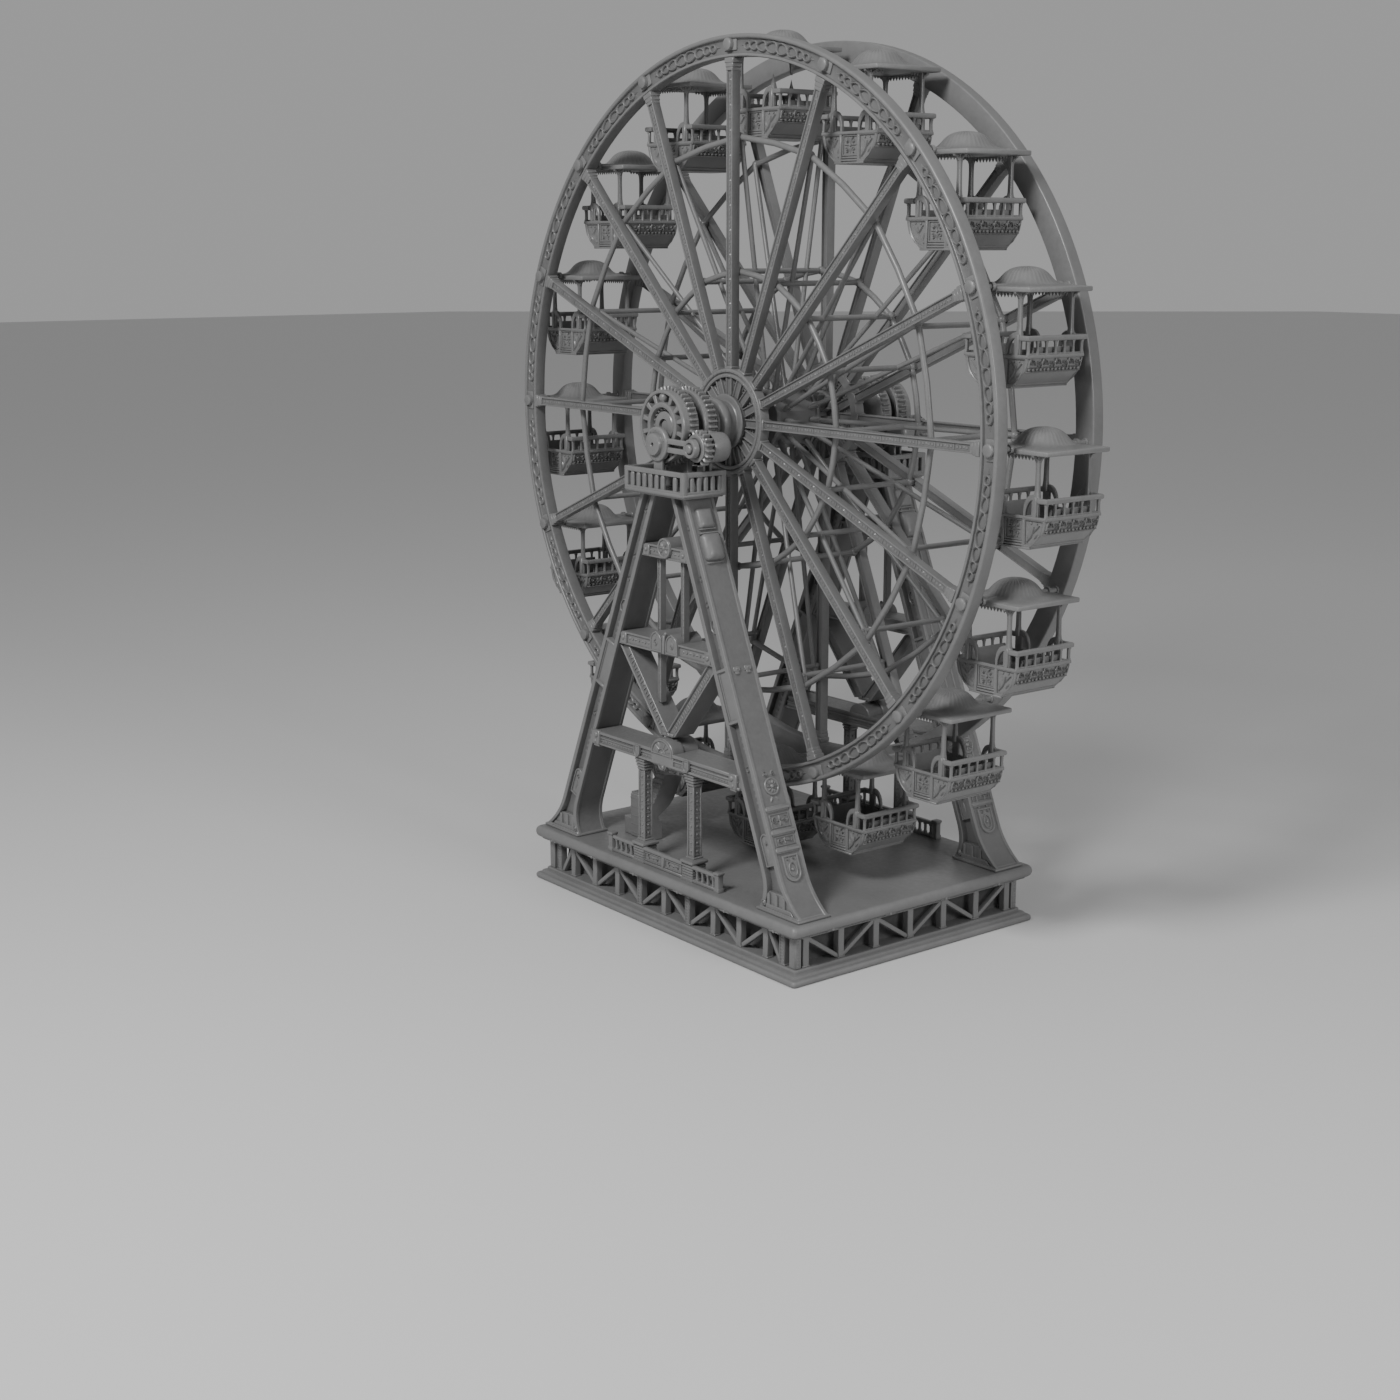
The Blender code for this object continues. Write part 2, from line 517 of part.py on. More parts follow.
for sx in (-1, 1):
    for sy in (-1, 1):
        pc.append(box(sx * 0.62 - 0.05, sx * 0.62 + 0.05, sy * 0.81 - 0.045, sy * 0.81 + 0.045, -1.2, -0.04))
pc.append(cone(0.065, 0.065, 3.04, (0, -1.52, 0), "Y", 6))
cab = fuse(body, *pc)
tidy(cab)
base_mesh = cab.data
base_mesh.materials.clear()
base_mesh.materials.append(CABIN)
for k in range(N):
    x, z = polar(PIVOT_R, 2 * pi * k / N)
    ob = bpy.data.objects.new("cabin_%02d" % (k + 1), base_mesh)
    ob.location = (x, 0, z)
    part.objects.link(ob)
bpy.data.objects.remove(cab, do_unlink=True)

for ob in list(work.objects):
    bpy.data.objects.remove(ob, do_unlink=True)
bpy.data.collections.remove(work)

for ob in part.objects:
    ob.data.shade_flat()
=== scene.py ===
"""Looks of the ferris wheel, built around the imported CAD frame."""
import bmesh
import bpy
import numpy as np
from math import sin, cos, tan, pi, radians, atan2, hypot, sqrt
from mathutils import Matrix, Vector


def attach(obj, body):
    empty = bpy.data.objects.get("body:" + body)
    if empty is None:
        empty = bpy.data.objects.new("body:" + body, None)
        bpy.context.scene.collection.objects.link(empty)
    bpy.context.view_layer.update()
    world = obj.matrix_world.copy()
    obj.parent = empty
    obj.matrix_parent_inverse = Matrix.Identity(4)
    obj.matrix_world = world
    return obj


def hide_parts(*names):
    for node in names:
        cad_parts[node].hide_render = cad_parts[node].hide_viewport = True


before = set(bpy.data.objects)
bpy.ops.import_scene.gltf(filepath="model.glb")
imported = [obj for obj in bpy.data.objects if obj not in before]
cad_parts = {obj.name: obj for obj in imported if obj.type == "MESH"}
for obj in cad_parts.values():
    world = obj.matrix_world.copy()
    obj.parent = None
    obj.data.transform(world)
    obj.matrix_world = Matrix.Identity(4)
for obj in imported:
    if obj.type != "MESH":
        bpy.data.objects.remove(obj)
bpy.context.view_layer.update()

H = 12.80              # axle height
R = 9.00               # pivot radius
N = 16

# ------------------------------------------------------------------ materials


def paint(name, grey, rough, mottle=0.05, scale=1.3, grain=0.0015, coat=0.12, edge_wear_and_crevice_shade=0.10):
    """Semi-gloss grey paint: broad mottling, painted shade that darkens crevices, lighter worn edges and a fine uneven
    film.
    """
    m = bpy.data.materials.new(name)
    m.use_nodes = True
    nt = m.node_tree
    add = nt.nodes.new
    link = nt.links.new
    b = nt.nodes["Principled BSDF"]
    tc = add("ShaderNodeTexCoord")
    n1 = add("ShaderNodeTexNoise")
    n1.inputs["Scale"].default_value = scale
    n1.inputs["Detail"].default_value = 5
    n1.inputs["Roughness"].default_value = 0.6
    n2 = add("ShaderNodeTexNoise")
    n2.inputs["Scale"].default_value = scale * 9
    n2.inputs["Detail"].default_value = 4
    for n in (n1, n2):
        link(tc.outputs["Object"], n.inputs["Vector"])
    mixn = add("ShaderNodeMix")
    mixn.inputs["Factor"].default_value = 0.35
    link(n1.outputs["Fac"], mixn.inputs["A"])
    link(n2.outputs["Fac"], mixn.inputs["B"])
    r1 = add("ShaderNodeMapRange")
    r1.inputs["From Min"].default_value = 0.32
    r1.inputs["From Max"].default_value = 0.68
    r1.inputs["To Min"].default_value = grey * (1 - mottle * 2)
    r1.inputs["To Max"].default_value = grey * (1 + mottle * 2)
    link(mixn.outputs["Result"], r1.inputs["Value"])
    # Pointiness map: painted shade darkens concave crevices and recesses; convex edges are lightened as wear
    geo = add("ShaderNodeNewGeometry")
    pointiness_wear_and_shade = add("ShaderNodeMapRange")
    pointiness_wear_and_shade.inputs["From Min"].default_value = 0.44
    pointiness_wear_and_shade.inputs["From Max"].default_value = 0.56
    pointiness_wear_and_shade.inputs["To Min"].default_value = 1 - edge_wear_and_crevice_shade * 1.6
    pointiness_wear_and_shade.inputs["To Max"].default_value = 1 + edge_wear_and_crevice_shade
    link(geo.outputs["Pointiness"], pointiness_wear_and_shade.inputs["Value"])
    mul = add("ShaderNodeMath")
    mul.operation = "MULTIPLY"
    link(r1.outputs["Result"], mul.inputs[0])
    link(pointiness_wear_and_shade.outputs["Result"], mul.inputs[1])
    link(mul.outputs["Value"], b.inputs["Base Color"])
    r2 = add("ShaderNodeMapRange")
    r2.inputs["From Min"].default_value = 0.3
    r2.inputs["From Max"].default_value = 0.7
    r2.inputs["To Min"].default_value = rough - 0.07
    r2.inputs["To Max"].default_value = rough + 0.09
    link(n2.outputs["Fac"], r2.inputs["Value"])
    link(r2.outputs["Result"], b.inputs["Roughness"])
    n3 = add("ShaderNodeTexNoise")
    n3.inputs["Scale"].default_value = scale * 24
    n3.inputs["Detail"].default_value = 3
    link(tc.outputs["Object"], n3.inputs["Vector"])
    bp = add("ShaderNodeBump")
    bp.inputs["Strength"].default_value = 0.35
    bp.inputs["Distance"].default_value = grain
    link(n3.outputs["Fac"], bp.inputs["Height"])
    link(bp.outputs["Normal"], b.inputs["Normal"])
    b.inputs["Coat Weight"].default_value = coat
    b.inputs["Coat Roughness"].default_value = 0.22
    b.inputs["Specular IOR Level"].default_value = 0.5
    m.diffuse_color = (grey, grey, grey, 1)
    return m


STEEL = paint("structure_paint", 0.150, 0.40)
DECK = paint("deck_paint", 0.155, 0.46, mottle=0.05, scale=0.8, grain=0.003, coat=0.05)
STONE = paint("rough_masonry", 0.080, 0.80, mottle=0.14, scale=1.8, grain=0.03, coat=0.0, edge_wear_and_crevice_shade=0.2)
WHEEL = paint("wheel_paint", 0.150, 0.38, mottle=0.05, scale=1.0)
GEAR = paint("machine_paint", 0.158, 0.33, scale=2.0, coat=0.25)
CABIN = paint("cabin_paint", 0.150, 0.38, scale=1.8)
ROOF = paint("cabin_roof_paint", 0.158, 0.42, mottle=0.06, scale=2.6, grain=0.004)

# ------------------------------------------------------------- mesh building


class Piece:
    """Vertices and faces gathered from many shapes."""

    def __init__(s):
        s.v, s.f, s.n = [], [], 0

    def add(s, v, f, M=None):
        v = np.asarray(v, float).reshape(-1, 3)
        if M is not None:
            M = np.asarray(M, float)
            v = v @ M[:3, :3].T + M[:3, 3]
        n = s.n
        s.f.extend([tuple([i + n for i in q]) for q in f])
        s.v.append(v)
        s.n += len(v)
        return s

    def join(s, o, M=None):
        return s.add(np.concatenate(o.v), o.f, M)

    def mapped(s, fn):
        p = Piece()
        p.add(fn(np.concatenate(s.v)), s.f)
        return p


def T(x=0, y=0, z=0):
    m = np.eye(4)
    m[:3, 3] = (x, y, z)
    return m


def rot(axis, a):
    m = np.eye(4)
    i, j = {"X": (1, 2), "Y": (2, 0), "Z": (0, 1)}[axis]
    m[i, i] = m[j, j] = cos(a)
    m[i, j], m[j, i] = -sin(a), sin(a)
    return m


def frame_of(origin, u, v, w):
    """Matrix that carries local u, v, w to these world directions."""
    m = np.eye(4)
    m[:3, 0], m[:3, 1], m[:3, 2], m[:3, 3] = u, v, w, origin
    return m


def mirror(x=1, y=1, z=1):
    return np.diag([x, y, z, 1.0])


SIGNS = [(a, b, c) for a in (-1, 1) for b in (-1, 1) for c in (-1, 1)]
SID = {s: i for i, s in enumerate(SIGNS)}


def _box_faces():
    f = []
    for k in range(3):
        a, b = [i for i in range(3) if i != k]
        for s in (-1, 1):
            q = []
            for sa, sb in ((-1, -1), (1, -1), (1, 1), (-1, 1)):
                t = [0, 0, 0]
                t[k], t[a], t[b] = s, sa, sb
                q.append(3 * SID[tuple(t)] + k)
            f.append(q)
        # edges along axis k, between faces a and b
        for sa in (-1, 1):
            for sb in (-1, 1):
                lo, hi = [0, 0, 0], [0, 0, 0]
                lo[k], hi[k] = -1, 1
                lo[a] = hi[a] = sa
                lo[b] = hi[b] = sb
                i, j = 3 * SID[tuple(lo)], 3 * SID[tuple(hi)]
                f.append([i + a, j + a, j + b, i + b])
    for s in SIGNS:
        i = 3 * SID[s]
        f.append([i, i + 1, i + 2])
    return f


BOXF = _box_faces()
PLAINF = [(0, 1, 3, 2), (4, 6, 7, 5), (0, 4, 5, 1), (2, 3, 7, 6), (0, 2, 6, 4), (1, 5, 7, 3)]


def cbox(P, x0, x1, y0, y1, z0, z1, b=0.01, M=None):
    """Box with chamfered edges."""
    h = np.array([x1 - x0, y1 - y0, z1 - z0]) / 2
    c = np.array([x1 + x0, y1 + y0, z1 + z0]) / 2
    S = np.array(SIGNS, float)
    if b <= 0:
        return P.add(c + S * h, PLAINF, M)
    b = min(b, 0.45 * h.min())
    v = np.zeros((8, 3, 3))
    for k in range(3):
        e = h - b
        e = e.copy()
        e[k] = h[k]
        v[:, k, :] = c + S * e
    return P.add(v.reshape(-1, 3), BOXF, M)


def rings(P, vs, close=True, caps=(True, True), M=None, wrap=True):
    """Skin between successive rings of equal point count."""
    n = len(vs[0])
    f = []
    m = len(vs)
    for i in range(m - 1 if not close else m):
        a, b = i * n, ((i + 1) % m) * n
        for j in range(n if wrap else n - 1):
            k = (j + 1) % n
            f.append((a + j, a + k, b + k, b + j))
    if not close:
        if caps[0]:
            f.append(tuple(range(n - 1, -1, -1)))
        if caps[1]:
            f.append(tuple((m - 1) * n + j for j in range(n)))
    return P.add(np.concatenate(vs), f, M)


def inset(pts, d):
    """Polygon (counter-clockwise) moved inward by d."""
    p = np.asarray(pts, float)
    a = p - np.roll(p, 1, 0)
    b = np.roll(p, -1, 0) - p
    a /= np.linalg.norm(a, axis=1)[:, None]
    b /= np.linalg.norm(b, axis=1)[:, None]
    na = np.stack([-a[:, 1], a[:, 0]], 1)
    nb = np.stack([-b[:, 1], b[:, 0]], 1)
    m = na + nb
    k = 1 + (na * nb).sum(1)
    k = np.maximum(k, 0.35)
    return p + m / k[:, None] * d


def ccw(pts):
    p = np.asarray(pts, float)
    q = np.roll(p, -1, 0)
    return p if (p[:, 0] * q[:, 1] - q[:, 0] * p[:, 1]).sum() > 0 else p[::-1].copy()


def prism(P, pts, w0, w1, b=0.008, M=None):
    """Outline in (u, v), extruded along w with chamfered ends."""
    p = ccw(pts)
    one = np.ones(len(p))
    if b > 0:
        q = inset(p, b)
        vs = [np.c_[q, w0 * one], np.c_[p, (w0 + b) * one], np.c_[p, (w1 - b) * one], np.c_[q, w1 * one]]
    else:
        vs = [np.c_[p, w0 * one], np.c_[p, w1 * one]]
    return rings(P, vs, False, M=M)


def border(P, pts, w, d0, d1, b=0.006, M=None):
    """Raised frame of width w just inside an outline, from depth d0 to d1."""
    p = ccw(pts)
    one = np.ones(len(p))
    q = inset(p, w)
    pb, qb = inset(p, b), inset(p, w - b)
    return rings(P, [np.c_[p, d0 * one], np.c_[p, (d1 - b) * one], np.c_[pb, d1 * one], np.c_[qb, d1 * one], np.c_[q, (d1 - b) * one], np.c_[q, d0 * one]], True, M=M)


def lathe(P, prof, seg, M=None, phase=0.0, closed=False, arc=2 * pi):
    """Profile of (radius, height) turned about w."""
    prof = [tuple(q) for q in prof]
    full = arc > 2 * pi - 1e-6
    k = seg if full else seg + 1
    a = phase + arc * np.arange(k) / seg
    ca, sa = np.cos(a), np.sin(a)
    v, ids = [], []
    n = 0
    for r, h in prof:
        if r < 1e-6:
            v.append(np.array([[0, 0, h]]))
            ids.append([n] * k)
            n += 1
        else:
            v.append(np.stack([r * ca, r * sa, h * np.ones(k)], 1))
            ids.append(list(range(n, n + k)))
            n += k
    f = []
    m = len(prof)
    for i in range(m if closed else m - 1):
        A, B = ids[i], ids[(i + 1) % m]
        for j in range(seg):
            l = (j + 1) % k
            q = [A[j], A[l], B[l], B[j]]
            q = [x for t, x in enumerate(q) if x != q[t - 1]]
            if len(q) > 2:
                f.append(q)
    return P.add(np.concatenate(v), f, M)


def sweep(P, path, prof, up=(0, 0, 1), closed=False, caps=True, scale=None, M=None):
    """Closed profile (side, up) carried along a flat path with mitred corners."""
    p = np.asarray(path, float)
    n = len(p)
    up = np.asarray(up, float)
    prof = np.asarray(prof, float)
    vs = []
    for i in range(n):
        if closed:
            a, b = p[i] - p[i - 1], p[(i + 1) % n] - p[i]
        else:
            a = p[i] - p[i - 1] if i else p[1] - p[0]
            b = p[i + 1] - p[i] if i < n - 1 else p[-1] - p[-2]
        a = a / np.linalg.norm(a)
        b = b / np.linalg.norm(b)
        sa, sb = np.cross(a, up), np.cross(b, up)
        sa /= np.linalg.norm(sa)
        sb /= np.linalg.norm(sb)
        s = (sa + sb) / max(1 + sa @ sb, 0.4)
        k = 1 if scale is None else scale[i]
        vs.append(p[i] + k * (prof[:, :1] * s + prof[:, 1:] * up))
    return rings(P, vs, closed, (caps, caps), M=M)


def circle(r, n, ph=0.0, ry=None):
    return [(r * cos(ph + 2 * pi * i / n), (ry or r) * sin(ph + 2 * pi * i / n)) for i in range(n)]


def rrect(hx, hy, r, n=2):
    """Rounded rectangle outline."""
    out = []
    for k, (sx, sy) in enumerate(((1, 1), (-1, 1), (-1, -1), (1, -1))):
        for i in range(n + 1):
            a = pi / 2 * (k + i / n)
            out.append((sx * (hx - r) + r * cos(a), sy * (hy - r) + r * sin(a)))
    return out


def rod(P, p, q, r, n=10, r2=None, M=None):
    p, q = np.asarray(p, float), np.asarray(q, float)
    d = (q - p) / np.linalg.norm(q - p)
    u = np.cross(d, (0, 0, 1) if abs(d[2]) < 0.9 else (1, 0, 0))
    u /= np.linalg.norm(u)
    v = np.cross(d, u)
    c = np.array(circle(1, n))
    base = c[:, :1] * u + c[:, 1:] * v
    return rings(P, [p + r * base, q + (r if r2 is None else r2) * base], False, M=M)


def ball(P, c, r, n=10, m=5, sq=1.0, M=None):
    prof = [(r * sin(pi * i / m), -r * sq * cos(pi * i / m)) for i in range(m + 1)]
    prof[0] = (0, -r * sq)
    prof[-1] = (0, r * sq)
    L = T(*c) if M is None else np.asarray(M) @ T(*c)
    return lathe(P, prof, n, L)


def dome(P, c, r, h, n=8, m=2, M=None):
    """Low dome standing on w = c[2]."""
    prof = [(r, -0.004)] + [(r * cos(pi / 2 * i / m), h * sin(pi / 2 * i / m)) for i in range(m)] + [(0, h)]
    L = T(*c) if M is None else np.asarray(M) @ T(*c)
    return lathe(P, prof, n, L)


def stack(P, cx, cy, levels, r=0.0, n=2, M=None, caps=(True, True)):
    """Rectangular mouldings: levels of (half x, half y, z)."""
    vs = []
    for hx, hy, z in levels:
        o = rrect(hx, hy, min(r, hx * 0.98, hy * 0.98), n) if r > 0 else [(hx, hy), (-hx, hy), (-hx, -hy), (hx, -hy)]
        vs.append(np.array([(cx + a, cy + b, z) for a, b in o]))
    return rings(P, vs, False, caps, M=M)


def nosing(h0, h1, z0, z1, r, n=3):
    """Levels of a slab whose edge is fully rounded: half sizes h0, h1."""
    zc, rz = (z0 + z1) / 2, (z1 - z0) / 2
    out = []
    for i in range(2 * n + 1):
        a = -pi / 2 + pi * i / (2 * n)
        d = r * (1 - cos(a))
        out.append((h0 - d, h1 - d, zc + rz * sin(a)))
    return out


SEC5 = ((-1, -0.15), (-0.72, 0.72), (0, 1), (0.72, 0.72), (1, -0.15))
SEC3 = ((-1, -0.15), (0, 1), (1, -0.15))


def relief(P, path, w, h, closed=False, fine=False, M=None, base=0.0):
    """Raised rounded strip along a path in (u, v); w and h may be lists."""
    p = np.asarray(path, float)
    n = len(p)
    w = np.broadcast_to(np.asarray(w, float), (n,))
    h = np.broadcast_to(np.asarray(h, float), (n,))
    if closed:
        t = np.roll(p, -1, 0) - np.roll(p, 1, 0)
    else:
        t = np.gradient(p, axis=0)
    t /= np.maximum(np.linalg.norm(t, axis=1)[:, None], 1e-9)
    nn = np.stack([-t[:, 1], t[:, 0]], 1)
    vs = []
    for a, b in (SEC5 if fine else SEC3):
        vs.append(np.c_[p + nn * (a * w / 2)[:, None], base + b * h])
    m = len(vs)
    V = np.stack(vs, 1).reshape(-1, 3)
    f = []
    for i in range(n if closed else n - 1):
        j = (i + 1) % n
        for k in range(m - 1):
            f.append((i * m + k, i * m + k + 1, j * m + k + 1, j * m + k))
    if not closed:
        f.append(tuple(range(m - 1, -1, -1)))
        f.append(tuple((n - 1) * m + k for k in range(m)))
    return P.add(V, f, M)


def spiral(cx, cy, r0, r1, a0, turns, n=12):
    """Points of a spiral that opens from r1 at its eye to r0."""
    out = []
    for i in range(n + 1):
        t = i / n
        r = r1 * (r0 / r1) ** t
        a = a0 + 2 * pi * turns * (t - 1)
        out.append((cx + r * cos(a), cy + r * sin(a)))
    return out


def scroll(P, cx, cy, size, a0, turns, w, h, n=11, M=None):
    pts = spiral(cx, cy, size, size * 0.22, a0, turns, n)
    k = np.linspace(0.65, 1.0, len(pts))
    relief(P, pts, w * k, h * k, M=M)
    dome(P, (cx, cy, 0), w * 0.62, h * 1.05, 6, 2, M=M)


def leaf(P, x, y, a, L, w, h, M=None, n=5):
    """Pointed leaf from (x, y) in direction a."""
    t = np.linspace(0, 1, n)
    pts = [(x + L * s * cos(a), y + L * s * sin(a)) for s in t]
    ww = w * np.sin(pi * np.clip(t * 0.88 + 0.10, 0, 1)) ** 0.8
    relief(P, pts, np.maximum(ww, w * 0.08), h * np.maximum(np.sin(pi * np.clip(t * 0.85 + 0.1, 0, 1)), 0.2), M=M)


def scroll_band(P, L, hgt, n, d, M=None, flip=False):
    """Running scrollwork, n motifs over length L centred on u = 0."""
    s = L / n
    for i in range(n):
        x = -L / 2 + s * (i + 0.5)
        k = 1 if (i + flip) % 2 == 0 else -1
        r = min(hgt * 0.40, s * 0.34)
        scroll(P, x - 0.10 * s, 0, r, pi / 2 * k, 1.25 * k, r * 0.42, d, 10, M)
        relief(P, [(x - 0.10 * s, k * r), (x + 0.18 * s, k * r * 0.9), (x + 0.38 * s, 0.0), (x + 0.52 * s, -k * r * 0.75)], [r * 0.42, r * 0.36, r * 0.30, r * 0.16], d * 0.9, M=M)
        leaf(P, x + 0.30 * s, 0, -k * pi / 3, r * 0.95, r * 0.5, d, M, 4)
        dome(P, (x + 0.30 * s, k * r * 0.62, 0), r * 0.20, d * 0.8, 6, 1, M=M)


def build(name, P, body, slot, *nodes, mat=None, angle=38, mesh_only=False):
    v = np.concatenate(P.v)
    me = bpy.data.meshes.new(name)
    me.from_pydata(v.tolist(), [], P.f)
    bm = bmesh.new()
    bm.from_mesh(me)
    bmesh.ops.recalc_face_normals(bm, faces=bm.faces)
    bm.to_mesh(me)
    bm.free()
    me.shade_smooth()
    me.set_sharp_from_angle(angle=radians(angle))
    me.materials.append(mat)
    if mesh_only:
        return me
    return show(name, me, body, slot, *nodes)


def show(name, me, body, slot, *nodes, place=None):
    ob = bpy.data.objects.new(name, me)
    bpy.context.scene.collection.objects.link(ob)
    if place is not None:
        ob.matrix_world = place
    bpy.context.view_layer.update()
    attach(ob, body)
    if nodes:
        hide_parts(*nodes)
    return ob


def radial(a, y=0.0):
    """Frame at the axle whose u runs round the wheel, v outward and w towards the front."""
    return frame_of((0, y, H), (cos(a), 0, -sin(a)), (sin(a), 0, cos(a)), (0, -1, 0))


AXLE = frame_of((0, 0, H), (1, 0, 0), (0, 0, 1), (0, -1, 0))     # w runs to the front

# carried-over CAD nodes: finish
for nm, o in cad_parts.items():
    o.data.materials.clear()
    kind = STEEL
    if "cabin" in nm:
        kind = CABIN
    elif nm in ("base_deck", "base_plinth"):
        kind = DECK
    elif nm == "base_core":
        kind = STONE
    elif any(k in nm for k in ("gear", "pinion", "motor", "bearing")) and "platform" not in nm:
        kind = GEAR
    elif any(k in nm for k in ("rim", "spokes", "axle", "bracing")):
        kind = WHEEL
    o.data.materials.append(kind)


def soften(nm, w=0.012, seg=2):
    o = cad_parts[nm]
    b = o.modifiers.new("edges", "BEVEL")
    b.width = w
    b.segments = seg
    b.limit_method = "ANGLE"
    b.angle_limit = radians(32)
    b.harden_normals = False


# --------------------------------------------------------------------- rims


def rim(side):
    """side -1 is the front rim; its outer face carries the ornament."""
    P = Piece()
    seg = 160
    f = lambda y: y          # height along w, which points outward
    prof = [(9.23, 1.40), (9.23, 1.67), (9.222, 1.695), (9.20, 1.712), (9.17, 1.720), (9.145, 1.712), (9.125, 1.690), (9.12, 1.655),
            (9.112, 1.632), (9.098, 1.622), (8.806, 1.622), (8.792, 1.632), (8.785, 1.66), (8.775, 1.685),
            (8.745, 1.700), (8.72, 1.695), (8.705, 1.675), (8.70, 1.65), (8.70, 1.385), (8.71, 1.368), (8.73, 1.36), (9.20, 1.36), (9.22, 1.368), (9.23, 1.385)]
    A = frame_of((0, 0, H), (1, 0, 0), (0, 0, 1), (0, side, 0))
    lathe(P, prof, seg, A, closed=True)
    for k in range(N):
        a = 2 * pi * k / N
        B = frame_of((R * sin(a), 0, H + R * cos(a)), (cos(a), 0, -sin(a)), (sin(a), 0, cos(a)), (0, side, 0))
        lathe(P, [(0.0, 1.60), (0.150, 1.60), (0.150, 1.745), (0.143, 1.768), (0.115, 1.786), (0.06, 1.796), (0, 1.799)], 22, B)
        stack(P, 0, 0, [(0.24, 0.145, 1.60), (0.24, 0.145, 1.655), (0.225, 0.135, 1.665)], r=0.02, n=2, M=B)
        lathe(P, [(0.0, 1.37), (0.10, 1.37), (0.10, 1.335), (0.085, 1.32), (0, 1.318)], 12, B)
    # chain of loops in each bay, drawn flat and wrapped round the rim
    F = Piece()
    sizes = [0.20, 0.26, 0.34, 0.40, 0.40, 0.34, 0.26, 0.20]
    u = -sum(sizes) / 2
    for i, L in enumerate(sizes):
        c = u + L / 2
        wd = 0.082 + 0.038 * (L - 0.20) / 0.20
        n = 14
        k = 1 if i < 4 else -1
        pts = []
        for j in range(n):
            t = 2 * pi * j / n
            drop = 1 + 0.28 * k * cos(t) * (1 if L > 0.25 else 0)
            pts.append((c + (L / 2 + 0.004) * cos(t), wd * sin(t) * drop))
        relief(F, pts, 0.050, 0.066, closed=True, fine=True)
        if i < len(sizes) - 1:
            leaf(F, u + L - 0.03, 0.055, 0.5, 0.085, 0.035, 0.03)
            leaf(F, u + L - 0.03, -0.055, -0.5, 0.085, 0.035, 0.03)
            dome(F, (u + L, 0, 0), 0.03, 0.055, 6, 2)
        u += L
    for s in (-1, 1):
        relief(F, [(s * 1.24, 0), (s * 1.30, 0), (s * 1.36, 0)], [0.06, 0.045, 0.01], [0.04, 0.03, 0.005])
    r0 = 8.957
    for k in range(N):
        am = 2 * pi * (k + 0.5) / N

        def wrap(v, am=am):
            a = am + v[:, 0] / r0
            r = r0 + v[:, 1]
            return np.stack([r * np.sin(a), side * (1.624 + v[:, 2]), H + r * np.cos(a)], 1)
        P.join(F.mapped(wrap))
    return P


build("wheel_rim_front", rim(-1), "wheel", "wheel", "front_rim", mat=WHEEL)
build("wheel_rim_rear", rim(1), "wheel", "wheel", "rear_rim", mat=WHEEL)

# ------------------------------------------------------------------- spokes


